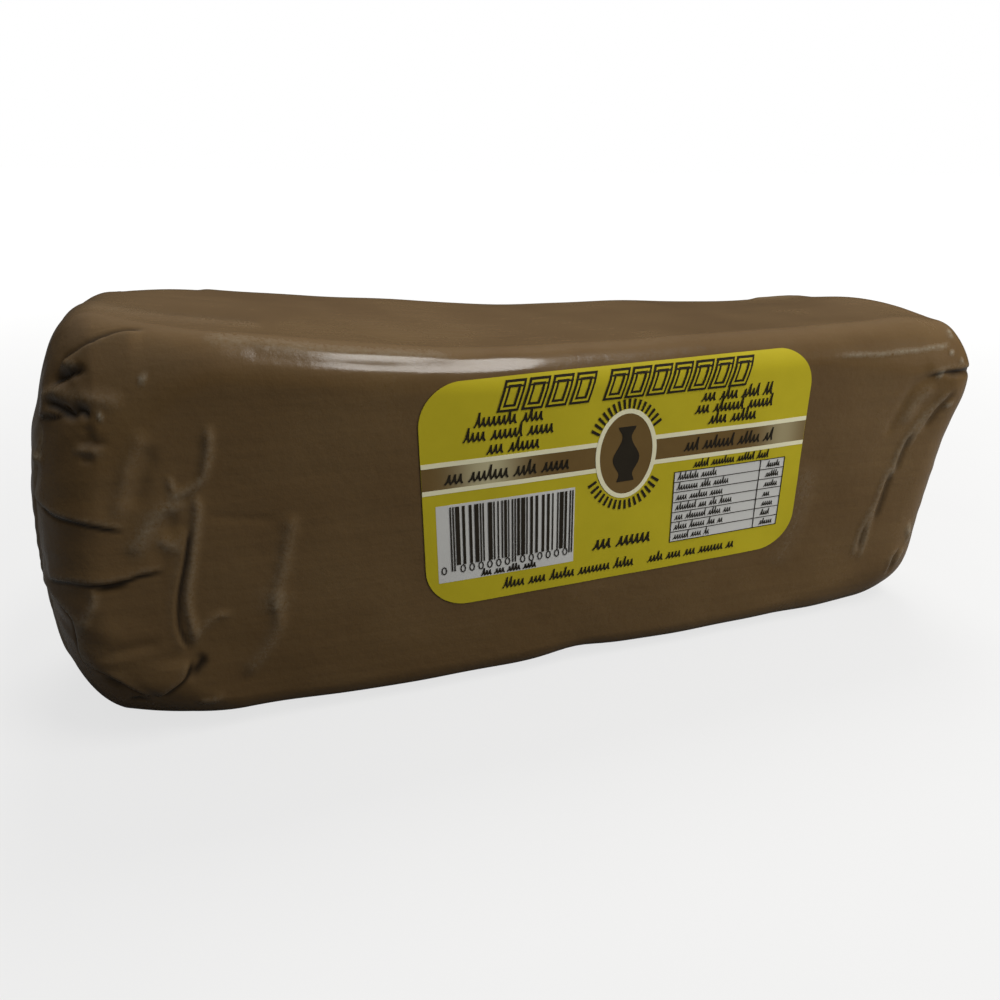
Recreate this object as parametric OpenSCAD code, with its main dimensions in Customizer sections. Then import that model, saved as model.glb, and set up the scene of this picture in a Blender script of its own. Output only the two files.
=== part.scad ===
// A 1 kg bar of natural modelling clay, wrapped in clear film with folded and taped ends, and a
// paper label on its front. The film, its folded plies, the tapes and the label are layers that lie
// one over another on the same rounded form.
// +X runs along the bar, the label is on the -Y side and +Z is up. The origin is the middle of the
// underside. Lengths are in millimetres.

/* [Bar] */
// Length over the wrapped ends
bar_l = 190; // [175:1:215]
// Depth from the label side to the back
bar_d = 51; // [46:1:62]
// Height of the top where the left end begins to round off
left_h = 75; // [70:1:80]
// Height of the top where the right end begins to round off
right_h = 69; // [64:0.5:78]
// How far the top dips below a straight line between those two places
sag = 4; // [2:0.5:6]
// How far the top of the left end leans back towards the middle
left_lean = 4; // [0.5:0.5:5]
// How far the foot of the right end is set back from its top
right_lean = 5; // [0.5:0.5:6]

/* [Rounding] */
// Radius of the left end's lower edge, seen from the front
left_low_r = 22; // [16:1:26]
// Radius of the left end's upper edge, seen from the front
left_high_r = 20; // [15:1:25]
// Radius of the right end's lower edge, seen from the front
right_low_r = 14; // [10:1:20]
// Radius of the right end's upper edge, seen from the front
right_high_r = 13; // [10:1:20]
// Radius of the left end's two upright edges, seen from above
left_side_r = 17; // [12:1:20]
// Radius of the right end's front upright edge, seen from above
right_front_r = 9; // [7:1:16]
// Radius of the right end's back upright edge, seen from above
right_back_r = 16; // [10:1:20]
// Radius of the long upper edges
top_edge_r = 7; // [4:0.5:10]
// Radius of the long lower edges
low_edge_r = 6; // [4:0.5:10]

/* [Film] */
// Thickness of the film sleeve
film_t = 0.25; // [0.15:0.05:0.4]
// Thickness of one folded ply on an end
ply_t = 0.25; // [0.15:0.05:0.4]
// Height of the strip where the film overlaps itself along the back
overlap_w = 22; // [14:1:30]
// Height of the middle of that strip above the underside
overlap_z = 36; // [28:1:42]

/* [Tape] */
// Thickness of the closing tape
tape_t = 0.2; // [0.1:0.05:0.3]
// Width of the closing tape
tape_w = 18; // [12:1:24]
// Length of each piece of tape
tape_l = 38; // [30:1:44]
// Number of tape pieces along the back seam
seam_tapes_n = 3; // [2:1:4]

/* [Label] */
// Width of the label
label_w = 82; // [60:1:92]
// Height of the label
label_h = 44; // [34:1:46]
// Thickness of the label
label_t = 0.15; // [0.1:0.05:0.3]
// Radius of the label's corners
label_r = 8; // [4:1:12]
// Distance of the label's middle to the right of the bar's middle
label_x = 11.5; // [0:0.5:16]
// Height of the label's middle above the underside
label_z = 42; // [36:0.5:42]
// Turn of the label, its right end upwards, in degrees
label_turn = 1.3; // [-2:0.1:2]

/* [Hidden] */
$fn = 72;
// Arcs of very large radius need more facets, so that their drawn steps stay small
LONG_ARC_FN = 720;
// Extra reach, so that a cutting or covering shape passes right through what it meets
REACH = 20;
// Offset of each layer's outer surface from the film sleeve's outer surface
TUCK_OUT = ply_t;
LOW_FLAP_OUT = 2 * ply_t;
TOP_FLAP_OUT = 3 * ply_t;
END_TAPE_OUT = TOP_FLAP_OUT + tape_t;
// Lowest point of the folded plies, clear of the surface that the bar rests on
PLY_FLOOR = 1.5;
// Inset of a ply's sides from the bar's sides, where it begins and at its free edge
ROOT_INSET = 3;
TIP_INSET = 11;

// Corner circles as [x, height or depth, radius], anticlockwise from the lower left one
ELEVATION = [
    [-bar_l / 2 + left_low_r, left_low_r, left_low_r],
    [bar_l / 2 - right_lean - right_low_r, right_low_r, right_low_r],
    [bar_l / 2 - right_high_r, right_h - right_high_r, right_high_r],
    [-bar_l / 2 + left_lean + left_high_r, left_h - left_high_r, left_high_r]
];
PLAN = [
    [-bar_l / 2 + left_side_r, -bar_d / 2 + left_side_r, left_side_r],
    [bar_l / 2 - right_front_r, -bar_d / 2 + right_front_r, right_front_r],
    [bar_l / 2 - right_back_r, bar_d / 2 - right_back_r, right_back_r],
    [-bar_l / 2 + left_side_r, bar_d / 2 - left_side_r, left_side_r]
];

// The top's dip is an arc through two crests, which lie a little beyond the upper corner circles'
// middles. Its centre is above the bar.
CREST_REACH = 2;
LEFT_CREST = [ELEVATION[3][0] - CREST_REACH, left_h];
RIGHT_CREST = [ELEVATION[2][0] + CREST_REACH, right_h];
CHORD = RIGHT_CREST - LEFT_CREST;
SAG_R = CHORD * CHORD / (8 * sag) + sag / 2;
SAG_UP = [-CHORD[1], CHORD[0]] / norm(CHORD);
SAG_C = (LEFT_CREST + RIGHT_CREST) / 2 + (SAG_R - sag) * SAG_UP;
SAG_HALF = asin((bar_l / 2 + abs(SAG_C[0]) + REACH) / SAG_R);

// A closed outline with a true arc at each of four corners, all of it moved outwards by grow
module round_outline(corners, grow) {
    c = corners;
    polygon([
        [c[0][0], c[0][1] - c[0][2] - grow], [c[1][0], c[1][1] - c[1][2] - grow],
        [c[1][0] + c[1][2] + grow, c[1][1]], [c[2][0] + c[2][2] + grow, c[2][1]],
        [c[2][0], c[2][1] + c[2][2] + grow], [c[3][0], c[3][1] + c[3][2] + grow],
        [c[3][0] - c[3][2] - grow, c[3][1]], [c[0][0] - c[0][2] - grow, c[0][1]]
    ]);
    for (corner = c) translate([corner[0], corner[1]]) circle(r = corner[2] + grow);
}

// Stands an outline drawn as [x, height] upright, as thick as deep and centred on the bar
module upright(deep) {
    translate([0, deep / 2, 0]) rotate([90, 0, 0]) linear_extrude(height = deep) children();
}

// Lays an outline drawn as [depth, height] along the bar, from x0 to x1
module along(x0, x1) {
    translate([x0, 0, 0]) rotate([90, 0, 90]) linear_extrude(height = x1 - x0) children();
}

// The form seen from above: rounded upright edges at both ends
module plan_solid(grow) {
    translate([0, 0, -REACH]) linear_extrude(height = left_h + 2 * REACH) round_outline(PLAN, grow);
}

// The form seen from the front: a flat underside and rounded ends, open above between the crests
module elevation_solid(grow) {
    upright(bar_d + 2 * REACH) {
        round_outline(ELEVATION, grow);
        translate([ELEVATION[3][0], right_h / 2])
            square([ELEVATION[2][0] - ELEVATION[3][0], right_h]);
    }
}

// The form's lower edges: a section with rounded lower corners along the bar
module low_edges_solid(grow) {
    r = low_edge_r + grow;
    half = bar_d / 2 + grow;
    along(-bar_l / 2 - REACH, bar_l / 2 + REACH) {
        translate([-half, r - grow]) square([2 * half, left_h + REACH]);
        translate([r - half, -grow]) square([2 * (half - r), left_h + REACH]);
        for (side = [-1, 1]) translate([side * (half - r), r - grow]) circle(r = r);
    }
}

// The form's dipping top: a section with rounded upper corners, turned about the dip's centre
module top_solid(grow) {
    r = top_edge_r + grow;
    half = bar_d / 2 + grow;
    deep = left_h + REACH;
    translate([SAG_C[0], 0, SAG_C[1]])
        rotate([90, 0, 0])
            rotate([0, 0, -90 - SAG_HALF])
                rotate_extrude(angle = 2 * SAG_HALF, $fn = LONG_ARC_FN) {
                    translate([SAG_R - grow + r, -half]) square([deep, 2 * half]);
                    translate([SAG_R - grow, r - half]) square([deep, 2 * (half - r)]);
                    for (side = [-1, 1])
                        translate([SAG_R - grow + r, side * (half - r)]) circle(r = r, $fn = 72);
                }
}

// The whole rounded form, with every surface grow millimetres outside the film sleeve's
module bar_form(grow) {
    intersection() {
        plan_solid(grow);
        elevation_solid(grow);
        low_edges_solid(grow);
        top_solid(grow);
    }
}

// A thin layer between two growths of the form, kept only where the children are
module layer(inner, outer) {
    intersection() {
        difference() {
            bar_form(outer);
            bar_form(inner);
        }
        children();
    }
}

// The space beyond one end of the bar, side -1 for left and 1 for right, drawn as [depth, height]
module end_zone(side) {
    middle = bar_l / 2 - left_side_r;
    if (side < 0) along(-bar_l / 2 - REACH, -middle) children();
    else along(middle, bar_l / 2 + REACH) children();
}

// Front or back ply: the film of one side turned in over the end, with slanted upper and lower edges
module tuck(side, face) {
    lap = 3;
    root = face * (bar_d / 2 + 1);
    tip = face < 0 ? lap : lap + 0.3;
    rise = ROOT_INSET + 2;
    layer(0, TUCK_OUT)
        end_zone(side)
            polygon([
                [root, PLY_FLOOR + rise], [tip, PLY_FLOOR + 3 * rise],
                [tip, right_h - 3 * rise], [root, right_h - rise]
            ]);
}

// Lower ply, folded up over the two tucks
module low_flap(side) {
    half = bar_d / 2;
    layer(TUCK_OUT, LOW_FLAP_OUT)
        end_zone(side)
            polygon([
                [ROOT_INSET - half, PLY_FLOOR], [half - ROOT_INSET, PLY_FLOOR],
                [half - TIP_INSET, right_h * 0.6], [TIP_INSET - half, right_h * 0.6]
            ]);
}

// Upper ply, folded down last over the lower one
module top_flap(side) {
    half = bar_d / 2;
    layer(LOW_FLAP_OUT, TOP_FLAP_OUT)
        end_zone(side)
            polygon([
                [TIP_INSET - half, right_h * 0.36], [half - TIP_INSET, right_h * 0.36],
                [half - ROOT_INSET, right_h - 4], [ROOT_INSET - half, right_h - 4]
            ]);
}

// One piece of tape, upright over the free edge of an end's upper ply
module end_tape(side) {
    layer(TOP_FLAP_OUT, END_TAPE_OUT)
        end_zone(side)
            translate([-tape_w / 2, right_h * 0.36 - tape_l / 2]) square([tape_w, tape_l]);
}

module clay_bar() {
    color("#6b4a2f") bar_form(-film_t);
}

module film_sleeve() {
    color("#7d5f42")
        difference() {
            bar_form(0);
            bar_form(-film_t);
        }
}

// The strip where the film's two long edges lap over each other, on the back
module back_overlap() {
    color("#8a7157")
        layer(0, ply_t)
            translate([left_side_r - bar_l / 2 + 2, bar_d / 2 - 1, overlap_z - overlap_w / 2])
                cube([bar_l - left_side_r - right_back_r - 4, REACH, overlap_w]);
}

// Pieces of tape across the back overlap, evenly spaced along the bar
module seam_tapes() {
    pitch = (bar_l - left_side_r - right_back_r) / seam_tapes_n;
    first = left_side_r - bar_l / 2 + pitch / 2;
    color("#d9d2bd")
        layer(ply_t, ply_t + tape_t)
            for (i = [0 : seam_tapes_n - 1])
                translate([first + i * pitch - tape_w / 2, bar_d / 2 - 1, overlap_z - tape_l / 2])
                    cube([tape_w, REACH, tape_l]);
}

module left_front_tuck() { color("#80664a") tuck(-1, -1); }
module left_back_tuck() { color("#80664a") tuck(-1, 1); }
module left_low_flap() { color("#8a7157") low_flap(-1); }
module left_top_flap() { color("#937b61") top_flap(-1); }
module left_end_tape() { color("#d9d2bd") end_tape(-1); }
module right_front_tuck() { color("#80664a") tuck(1, -1); }
module right_back_tuck() { color("#80664a") tuck(1, 1); }
module right_low_flap() { color("#8a7157") low_flap(1); }
module right_top_flap() { color("#937b61") top_flap(1); }
module right_end_tape() { color("#d9d2bd") end_tape(1); }

// The label, stuck flat on the front, with its top just over the start of the upper edge
module front_label() {
    x = label_w / 2 - label_r;
    z = label_h / 2 - label_r;
    color("#d6c43c")
        layer(0, label_t)
            translate([label_x, -bar_d / 2, label_z])
                rotate([0, -label_turn, 0])
                    upright(2 * top_edge_r)
                        round_outline(
                            [for (p = [[-x, -z], [x, -z], [x, z], [-x, z]]) [p[0], p[1], label_r]],
                            0
                        );
}

clay_bar();
film_sleeve();
back_overlap();
seam_tapes();
left_front_tuck();
left_back_tuck();
left_low_flap();
left_top_flap();
left_end_tape();
right_front_tuck();
right_back_tuck();
right_low_flap();
right_top_flap();
right_end_tape();
front_label();
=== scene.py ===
"""A 1 kg bar of modelling clay in clear film: the film over the clay, the folded and taped ends, the
back seam and the printed label.

The film, its plies, the tapes and the label all lie on one rounded form. The form is a formula on the
surface of a cube, and each piece is a grid of cube points that the formula carries to its place.
Shape functions work in millimetres, and meshes are written in metres.
"""
import math

import bpy
import numpy as np
from mathutils import Matrix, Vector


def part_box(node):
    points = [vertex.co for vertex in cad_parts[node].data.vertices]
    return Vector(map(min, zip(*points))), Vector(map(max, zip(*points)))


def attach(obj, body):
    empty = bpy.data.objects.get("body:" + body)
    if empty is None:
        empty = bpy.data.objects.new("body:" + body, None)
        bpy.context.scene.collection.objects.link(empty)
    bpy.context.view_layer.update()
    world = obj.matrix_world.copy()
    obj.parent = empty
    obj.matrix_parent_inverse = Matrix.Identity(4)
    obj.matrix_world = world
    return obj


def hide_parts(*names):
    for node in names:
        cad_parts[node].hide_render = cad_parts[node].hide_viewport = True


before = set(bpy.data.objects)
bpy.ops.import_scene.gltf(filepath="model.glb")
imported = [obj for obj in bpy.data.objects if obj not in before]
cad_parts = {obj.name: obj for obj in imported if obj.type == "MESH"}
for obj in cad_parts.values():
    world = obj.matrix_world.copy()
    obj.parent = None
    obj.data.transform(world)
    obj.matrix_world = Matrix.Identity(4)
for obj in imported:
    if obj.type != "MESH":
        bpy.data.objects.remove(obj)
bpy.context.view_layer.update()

MM = 0.001
BODY = "root"


def node_box(node):
    """Lowest corner and size of a CAD node, in millimetres."""
    low, high = (np.array(corner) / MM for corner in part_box(node))
    return low, high - low


# ---------------------------------------------------------------------------------------------
# The bar's form
# ---------------------------------------------------------------------------------------------

FILM_SIZE = node_box("film_sleeve")[1]
LEFT_RISE = 7.3  # how much higher the top stands at the left end
RIGHT_RISE = 1.0  # how much higher it stands at the right end
HALF_L = FILM_SIZE[0] / 2
HALF_D = FILM_SIZE[1] / 2
BODY_H = FILM_SIZE[2] - LEFT_RISE
CENTRE = np.array([0, 0, BODY_H / 2])

LEFT_ZONE = 33.0  # length over which the long edges round off more towards the left end
RIGHT_ZONE = 47.0  # the same towards the right end
LEFT_RISE_REACH = 112.0
RIGHT_RISE_REACH = 60.0
FRONT_DIP = 2.0  # extra dip of the front upper edge, where it is and how long it is
FRONT_DIP_X = -30.0
FRONT_DIP_REACH = 35.0
FOOT_RISE = 1.5  # how far the left end's underside lifts
FOOT_RISE_REACH = 62.0
LEFT_LEAN = 3.9
RIGHT_LEAN = 5.2

# Lumps of the soft clay: x, y, z, radius and height
LUMPS = [
    (-82, -5, 66, 14, 0.4), (-94, -10, 38, 18, -0.4), (-84, -18, 8, 14, 0.7), (-30, 22, 70, 25, 0.7),
    (20, 22, 67, 25, 0.9), (62, 22, 68, 18, -1.0), (94, -15, 35, 14, 0.9), (86, -18, 8, 12, 1.0),
    (-60, 10, 73, 18, 0.3), (-72, 15, 75, 13, 1.0), (-85, -4, 71, 11, 0.7), (84, 2, 68, 11, 1.3),
    (91, -19, 67, 8, -1.8), (94, -24, 54, 9, 1.8), (-58, -23, 1.5, 15, -0.7), (4, -23, 1, 7, -0.9),
    (66, -23, 1.5, 9, 0.5), (84, -23, 2.5, 6, -0.8), (97, -10, 55, 10, 0.2), (-80, -22, 2, 8, 0.2),
]


def ease(t):
    """Smooth step 3t^2 - 2t^3, with t held between 0 and 1."""
    t = np.clip(t, 0, 1)
    return t * t * (3 - 2 * t)


def mix(a, b, t):
    """a where t is 0, b where t is 1."""
    return a + (b - a) * t


def rounded_bar(q):
    """The bar's form: a point q on a cube's surface, each part from -1 to 1, becomes a point on the bar.

    The cube is scaled to the bar's half sizes. Each part's share d of the rounding (0 where it begins,
    1 at the edge) becomes d * sqrt(1 - e^2/2 - f^2/2 + e^2 f^2/3), with e and f the other two shares,
    which makes a cube's corner a ball's. The radii grow towards the ends. Then the top rises at both
    ends and dips along the front, the left end's foot lifts, and both ends lean.
    """
    x, y, z = q[..., 0] * HALF_L, q[..., 1] * HALF_D, q[..., 2] * BODY_H / 2
    up, back, right = (ease((q[..., i] + 1) / 2) for i in (2, 1, 0))
    at_left = ease(1 - (x + HALF_L) / LEFT_ZONE)
    at_right = ease(1 - (HALF_L - x) / RIGHT_ZONE)

    def towards_ends(middle, left, right_end):
        """A radius that is middle along the bar and becomes left and right_end at its two ends."""
        return middle + (left - middle) * at_left + (right_end - middle) * at_right

    rz = mix(towards_ends(6, 27, 13), towards_ends(7, 37, mix(14, 28, back)), up)
    ry = towards_ends(7, 20, mix(7.5, 14, back))
    rx = mix(mix(12, 14, up), mix(mix(12.5, 16, back), mix(7, 25, back), up), right)
    shares = []
    for part, half, radius in ((x, HALF_L, rx), (y, HALF_D, ry), (z, BODY_H / 2, rz)):
        shares.append(np.clip((np.abs(part) - half + radius) / radius, 0, 1))

    def balled(i):
        """How much the cube's edge is drawn in, as a share of the radius: the formula above less d."""
        d, e, f = shares[i], shares[i - 1] ** 2, shares[i - 2] ** 2
        return d * (np.sqrt(1 - e / 2 - f / 2 + e * f / 3) - 1)

    x = x + np.sign(x) * balled(0) * rx
    y = y + np.sign(y) * balled(1) * ry
    z = z + np.sign(z) * balled(2) * rz + BODY_H / 2

    top = z / BODY_H
    front = ease(0.5 - y / (2 * HALF_D))
    dip = FRONT_DIP * front * np.exp(-((x - FRONT_DIP_X) / FRONT_DIP_REACH) ** 2)
    rise = LEFT_RISE * ease(1 - (x + HALF_L) / LEFT_RISE_REACH)
    rise = rise + RIGHT_RISE * ease(1 - (HALF_L - x) / RIGHT_RISE_REACH)
    z = z + top * (rise - dip) + (1 - top) * FOOT_RISE * ease(1 - (x + HALF_L) / FOOT_RISE_REACH)
    along = (x + HALF_L) / (2 * HALF_L)
    x = x + (top - 0.5) * (RIGHT_LEAN * ease(along) + LEFT_LEAN * ease(1 - along))
    return np.stack([x, y, z], -1)


# ---------------------------------------------------------------------------------------------
# Folds and creases of the film
# ---------------------------------------------------------------------------------------------

# Each crease: kind, height, width, haze, and the places it runs through (x, y, z). The haze is partly
# the film's own, where it stands off the clay, and partly painted sheen and glints on crests. A lap is a
# ply's edge, raised on the left-hand side of the way it runs, seen from outside. A ridge stands up and a
# groove lies down on both sides. Grooves and the gutters of laps paint shade, near black, into the colour.
CREASES = [
    # upper left corner: plies gathered towards the end
    ("lap", 0.8, 0.7, 0.1, [(-71.1, -18.1, 73.2), (-75.4, -17.5, 72.8), (-79.9, -17.5, 71.3),
      (-81.7, -17.1, 70.2), (-83.4, -16.3, 69.1), (-84.4, -15.9, 68.1), (-85.3, -15.6, 66.9)]),
    ("groove", 0.95, 0.75, 0.0, [(-79.7, -19.6, 68.7), (-80.5, -19.5, 68), (-82, -18.7, 67.6),
      (-83.7, -17.5, 66.9), (-84.7, -16.7, 66.4), (-85.9, -15.8, 65.5), (-86.8, -14.8, 64.9)]),
    ("ridge", 0.4, 0.6, 0.9, [(-81.3, -18.8, 68.7), (-82.7, -17.9, 68.3), (-84.1, -16.8, 67.8)]),
    ("ridge", 0.5, 1.3, 0.5, [(-89.1, -12.3, 62.2), (-85.9, -16.8, 63.8), (-83.5, -18.7, 65.3)]),
    ("ridge", 0.4, 1.3, 0.3, [(-85.9, -16.8, 63.8), (-80.8, -21.6, 63.9), (-77.9, -23, 63.6),
      (-75.1, -23.7, 63.8)]),
    ("groove", 0.9, 0.8, 0.0, [(-88, -14.6, 62.2), (-86.3, -17.1, 62.4), (-85.2, -18.7, 62),
      (-84, -20.2, 61.5), (-82.8, -21.4, 61.3), (-81.9, -22.3, 60.8)]),
    ("groove", 0.7, 0.7, 0.0, [(-83.6, -20.1, 62.5), (-82.5, -21.2, 62.4), (-81.5, -22, 62.1),
      (-81.1, -22.6, 61.4), (-80.3, -23.2, 61)]),
    # A short ridge whose strong haze paints a glint.
    ("ridge", 0.3, 0.6, 1.8, [(-79.7, -23.4, 61.2), (-78.7, -23.5, 61.7)]),
    ("lap", 0.5, 0.6, 0.2, [(-90, -12.5, 59.4), (-87.4, -16.7, 60.4), (-85.1, -19.3, 61.1),
      (-84.3, -20, 61.5)]),
    ("groove", 0.4, 1.1, 0.0, [(-81.4, -22.9, 60.6), (-81.4, -23.3, 59), (-81, -23.9, 57.2)]),
    ("groove", 0.35, 0.8, 0.0, [(-84.1, -22, 57.5), (-80.9, -24.1, 57.5), (-78, -24.8, 57.5)]),
    ("ridge", 0.3, 0.8, 0.3, [(-84.8, -21.9, 56.2), (-80.8, -24.5, 56.3), (-78.2, -25, 56.6)]),
    ("groove", 0.3, 0.8, 0.0, [(-83.6, -23.2, 55), (-80.6, -24.8, 55)]),
    ("ridge", 0.2, 0.8, 0.9, [(-73.2, -23.1, 67), (-71.5, -23.6, 66.6)]),
    ("ridge", 0.35, 0.8, 0.5, [(-92.5, -11, 53.2), (-91.4, -13.4, 53.1), (-89.3, -17.8, 52.8)]),
    # left end, middle
    ("ridge", 0.35, 1.2, 0.15, [(-73.1, -25.2, 59.8), (-74.6, -25.4, 56.6), (-76.2, -25.5, 54),
      (-77.5, -25.5, 50.1), (-78.6, -25.5, 47.2), (-79.6, -25.4, 44.4)]),
    ("groove", 0.4, 1.4, 0.0, [(-72, -25.3, 57), (-74, -25.4, 53), (-75.6, -25.5, 49.5),
      (-77, -25.5, 46)]),
    ("lap", 0.55, 0.6, 0.3, [(-92.6, -13.5, 46.8), (-90.4, -19.1, 45.8), (-88.7, -21.6, 45.4),
      (-86, -24.2, 45.2), (-83.3, -25.3, 44.5), (-81.1, -25.5, 43.7), (-78.1, -25.4, 42.8)]),
    ("lap", 0.6, 0.6, 0.3, [(-92.5, -17.6, 32.8), (-88.4, -23.2, 34.1), (-85.3, -25, 34),
      (-82.5, -25.4, 33.9), (-79.8, -25.4, 34.1), (-77.4, -25.4, 34.7), (-73.2, -25.4, 34.9)]),
    ("groove", 0.5, 0.6, 0.0, [(-85.6, -25, 33.2), (-82.5, -25.4, 33), (-79, -25.4, 33.4)]),
    ("ridge", 0.4, 0.8, 0.5, [(-85.3, -25, 34), (-85.1, -25.1, 31), (-86.8, -24.5, 27.6),
      (-88.2, -23.4, 24.2)]),
    # lower left corner: the front ply lies over the one that comes up from below
    ("lap", 0.8, 0.8, 0.6, [(-94.2, -13.1, 31.4), (-92.7, -17.5, 30.4), (-89.5, -22.3, 27.3),
      (-89.3, -22.4, 23.7), (-89.4, -21.8, 19.5), (-89, -21.6, 16)]),
    ("lap", 0.9, 0.7, 0.1, [(-88.6, -22.1, 16.7), (-86.4, -23.9, 16.6), (-84.5, -24.4, 15.1),
      (-83, -24.4, 13.3), (-81.1, -24.2, 11.2), (-79.7, -23.7, 9)]),
    ("groove", 0.5, 0.9, 0.0, [(-87, -23, 15.2), (-85, -23.8, 13.8), (-83.4, -23.9, 12)]),
    ("groove", 0.4, 0.6, 0.0, [(-84, -21.8, 7.8), (-82.3, -23.1, 9), (-79.7, -23.5, 8.2)]),
    ("lap", 0.8, 0.6, 0.2, [(-79.2, -23.9, 9.2), (-77.6, -24.6, 10.1), (-76, -25.2, 11.3),
      (-73.9, -25.5, 12.9), (-72.9, -25.5, 14.6), (-72.1, -25.5, 17.3)]),
    ("groove", 0.6, 0.8, 0.0, [(-71.4, -25.5, 18.4), (-70.3, -25.4, 16.2), (-71.6, -25.5, 14.2),
      (-73, -25.5, 12.2)]),
    ("groove", 0.25, 1.0, 0.0, [(-86.9, -24, 19.4), (-83.1, -25.4, 20.8), (-79.4, -25.6, 21.1),
      (-75.9, -25.6, 21.5)]),
    ("lap", 0.5, 0.7, 0.1, [(-72, -25.5, 18.2), (-72.8, -25.5, 20.6), (-73.3, -25.5, 23.9),
      (-73, -25.5, 27.2), (-72.4, -25.5, 30.3), (-71.3, -25.5, 34), (-70.6, -25.5, 36.3),
      (-69, -25.5, 42.5)]),
    ("ridge", 0.5, 0.8, 0.45, [(-67.3, -25.3, 48.5), (-67.2, -25.4, 45.6), (-67.8, -25.4, 42.3),
      (-68.4, -25.5, 39.8), (-69, -25.5, 37.4), (-69.6, -25.5, 34.8), (-70.6, -25.5, 31),
      (-71.1, -25.5, 27), (-70.9, -25.5, 23), (-71.4, -25.5, 20)]),
    ("ridge", 0.4, 0.8, 0.3, [(-71.9, -25.5, 19), (-70.1, -25.5, 22), (-68.3, -25.5, 23.7),
      (-66.4, -25.5, 24.8), (-63.5, -25.5, 24.4)]),
    ("ridge", 0.3, 0.9, 0.4, [(-73, -25, 8), (-70, -25.2, 7), (-67, -25.2, 8.5)]),
    # film standing off the clay left of the label
    ("ridge", 0.5, 0.8, 0.5, [(-63.6, -25.4, 60), (-64.2, -25.3, 55.7), (-64.8, -25.3, 53.2),
      (-65.7, -25.3, 50.7), (-67.4, -25.3, 49), (-69.6, -25.4, 48.1), (-72, -25.4, 47.1)]),
    ("ridge", 0.3, 0.6, 0.4, [(-71, -25.4, 51.9), (-70.6, -25.4, 49.6), (-70.7, -25.4, 47.6)]),
    ("ridge", 0.45, 1.3, 0.5, [(-68.6, -25.3, 47.8), (-70.6, -25.4, 46.4), (-73.2, -25.4, 45.1),
      (-75, -25.4, 43), (-77.2, -25.4, 39.9), (-79.4, -25.4, 38.3)]),
    ("ridge", 0.3, 1.0, 0.5, [(-74.1, -25.4, 41.5), (-72.3, -25.4, 39.2), (-70, -25.5, 39.1)]),
    ("groove", 0.3, 1.0, 0.0, [(-70.8, -25.4, 45.3), (-71.9, -25.4, 42.4), (-72.4, -25.4, 40.6)]),
    ("groove", 0.15, 0.8, 0.0, [(-66.9, -25.4, 43.7), (-61.6, -25.4, 42.7), (-54.2, -25.5, 41.3)]),
    ("ridge", 0.4, 1.2, 0.3, [(-52, -25.5, 43), (-54.6, -25.5, 33), (-56.5, -25.5, 26.5),
      (-56.6, -25.5, 21), (-60, -25.5, 15.5), (-64, -25.4, 11)]),
    ("ridge", 0.2, 2.4, 0.3, [(-55.6, -25.5, 29), (-56.6, -25.5, 26), (-56.6, -25.5, 23)]),
    # right end
    ("groove", 0.35, 0.65, 0.0, [(86.4, -25.5, 56.7), (89.5, -25.5, 57), (93.1, -24.8, 56.9),
      (96.5, -19, 56.6)]),
    ("lap", 0.4, 0.6, 0.3, [(82, -25.5, 56.6), (85.5, -25.5, 57.5), (90, -25.4, 57.8),
      (95, -22.5, 57.8)]),
    # Short ridges whose strong haze paints glints.
    ("ridge", 0.35, 0.6, 1.8, [(84.7, -25.9, 56.2), (85.6, -25.9, 57.1), (86.5, -25.9, 58)]),
    ("ridge", 0.3, 0.6, 1.8, [(88.1, -24.7, 61.6), (89.3, -25, 61)]),
    ("ridge", 0.3, 0.6, 1.3, [(90.3, -25.5, 60.1), (91.7, -25.7, 59.1)]),
    ("ridge", 0.3, 0.6, 1.2, [(90.4, -20.6, 66), (90, -22.3, 64.7), (89.7, -23.3, 63.4)]),
    ("ridge", 0.12, 0.5, 1.0, [(58, -24.9, 62.7), (65.1, -24.9, 62.4), (70, -24.9, 62.2),
      (75.1, -24.7, 62.4), (79.9, -24.5, 62.3), (83.1, -24.3, 62.6), (87.1, -24, 62.7),
      (89.5, -23.5, 63.4)]),
    ("groove", 0.3, 1.2, 0.0, [(85.2, -25.9, 57.1), (82, -25.7, 55.9), (79.8, -25.7, 54.9),
      (78.3, -25.6, 52.9), (77, -25.6, 50), (75.7, -25.6, 47.2), (74.9, -25.6, 43)]),
    ("ridge", 0.3, 1.4, 0.3, [(85.5, -25.7, 54.6), (83, -25.7, 53.4), (81, -25.6, 51.4),
      (79.6, -25.6, 48.8), (78.2, -25.6, 45.6)]),
    ("ridge", 0.4, 0.8, 0.5, [(89.4, -26.7, 53.6), (85.9, -26.2, 50), (83.2, -25.9, 47.4),
      (81.2, -25.8, 44.5), (79.6, -25.7, 41.6), (78.7, -25.7, 38.7), (78.3, -25.8, 35.5),
      (77.9, -25.8, 32.5)]),
    ("groove", 0.4, 0.8, 0.0, [(90.6, -26.8, 53.7), (88.6, -26.6, 51.3), (87, -26.2, 49),
      (85.5, -26, 46.4), (84.3, -25.9, 44)]),
    ("ridge", 0.3, 0.7, 0.4, [(86.4, -26, 49.7), (84.4, -26, 46.8), (83, -25.8, 44.6), (82, -25.8, 42.8),
      (81, -25.8, 40.2)]),
    ("groove", 0.4, 0.7, 0.0, [(82.5, -25.8, 44.7), (80.9, -25.8, 42.5), (80.1, -25.8, 39.8),
      (79.6, -25.8, 37.2), (79.2, -25.8, 34)]),
    ("ridge", 0.3, 0.6, 1.0, [(87.8, -26.4, 49.6), (89.5, -26.6, 50.1), (91, -26.5, 50.5)]),
    ("ridge", 0.3, 0.7, 0.5, [(77.8, -25.7, 37.6), (76.7, -25.7, 34.4), (75.9, -25.8, 31.2),
      (75.3, -25.8, 28), (74.8, -25.8, 24.5), (74.5, -25.8, 20.3), (74.1, -25.8, 16.3),
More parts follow.
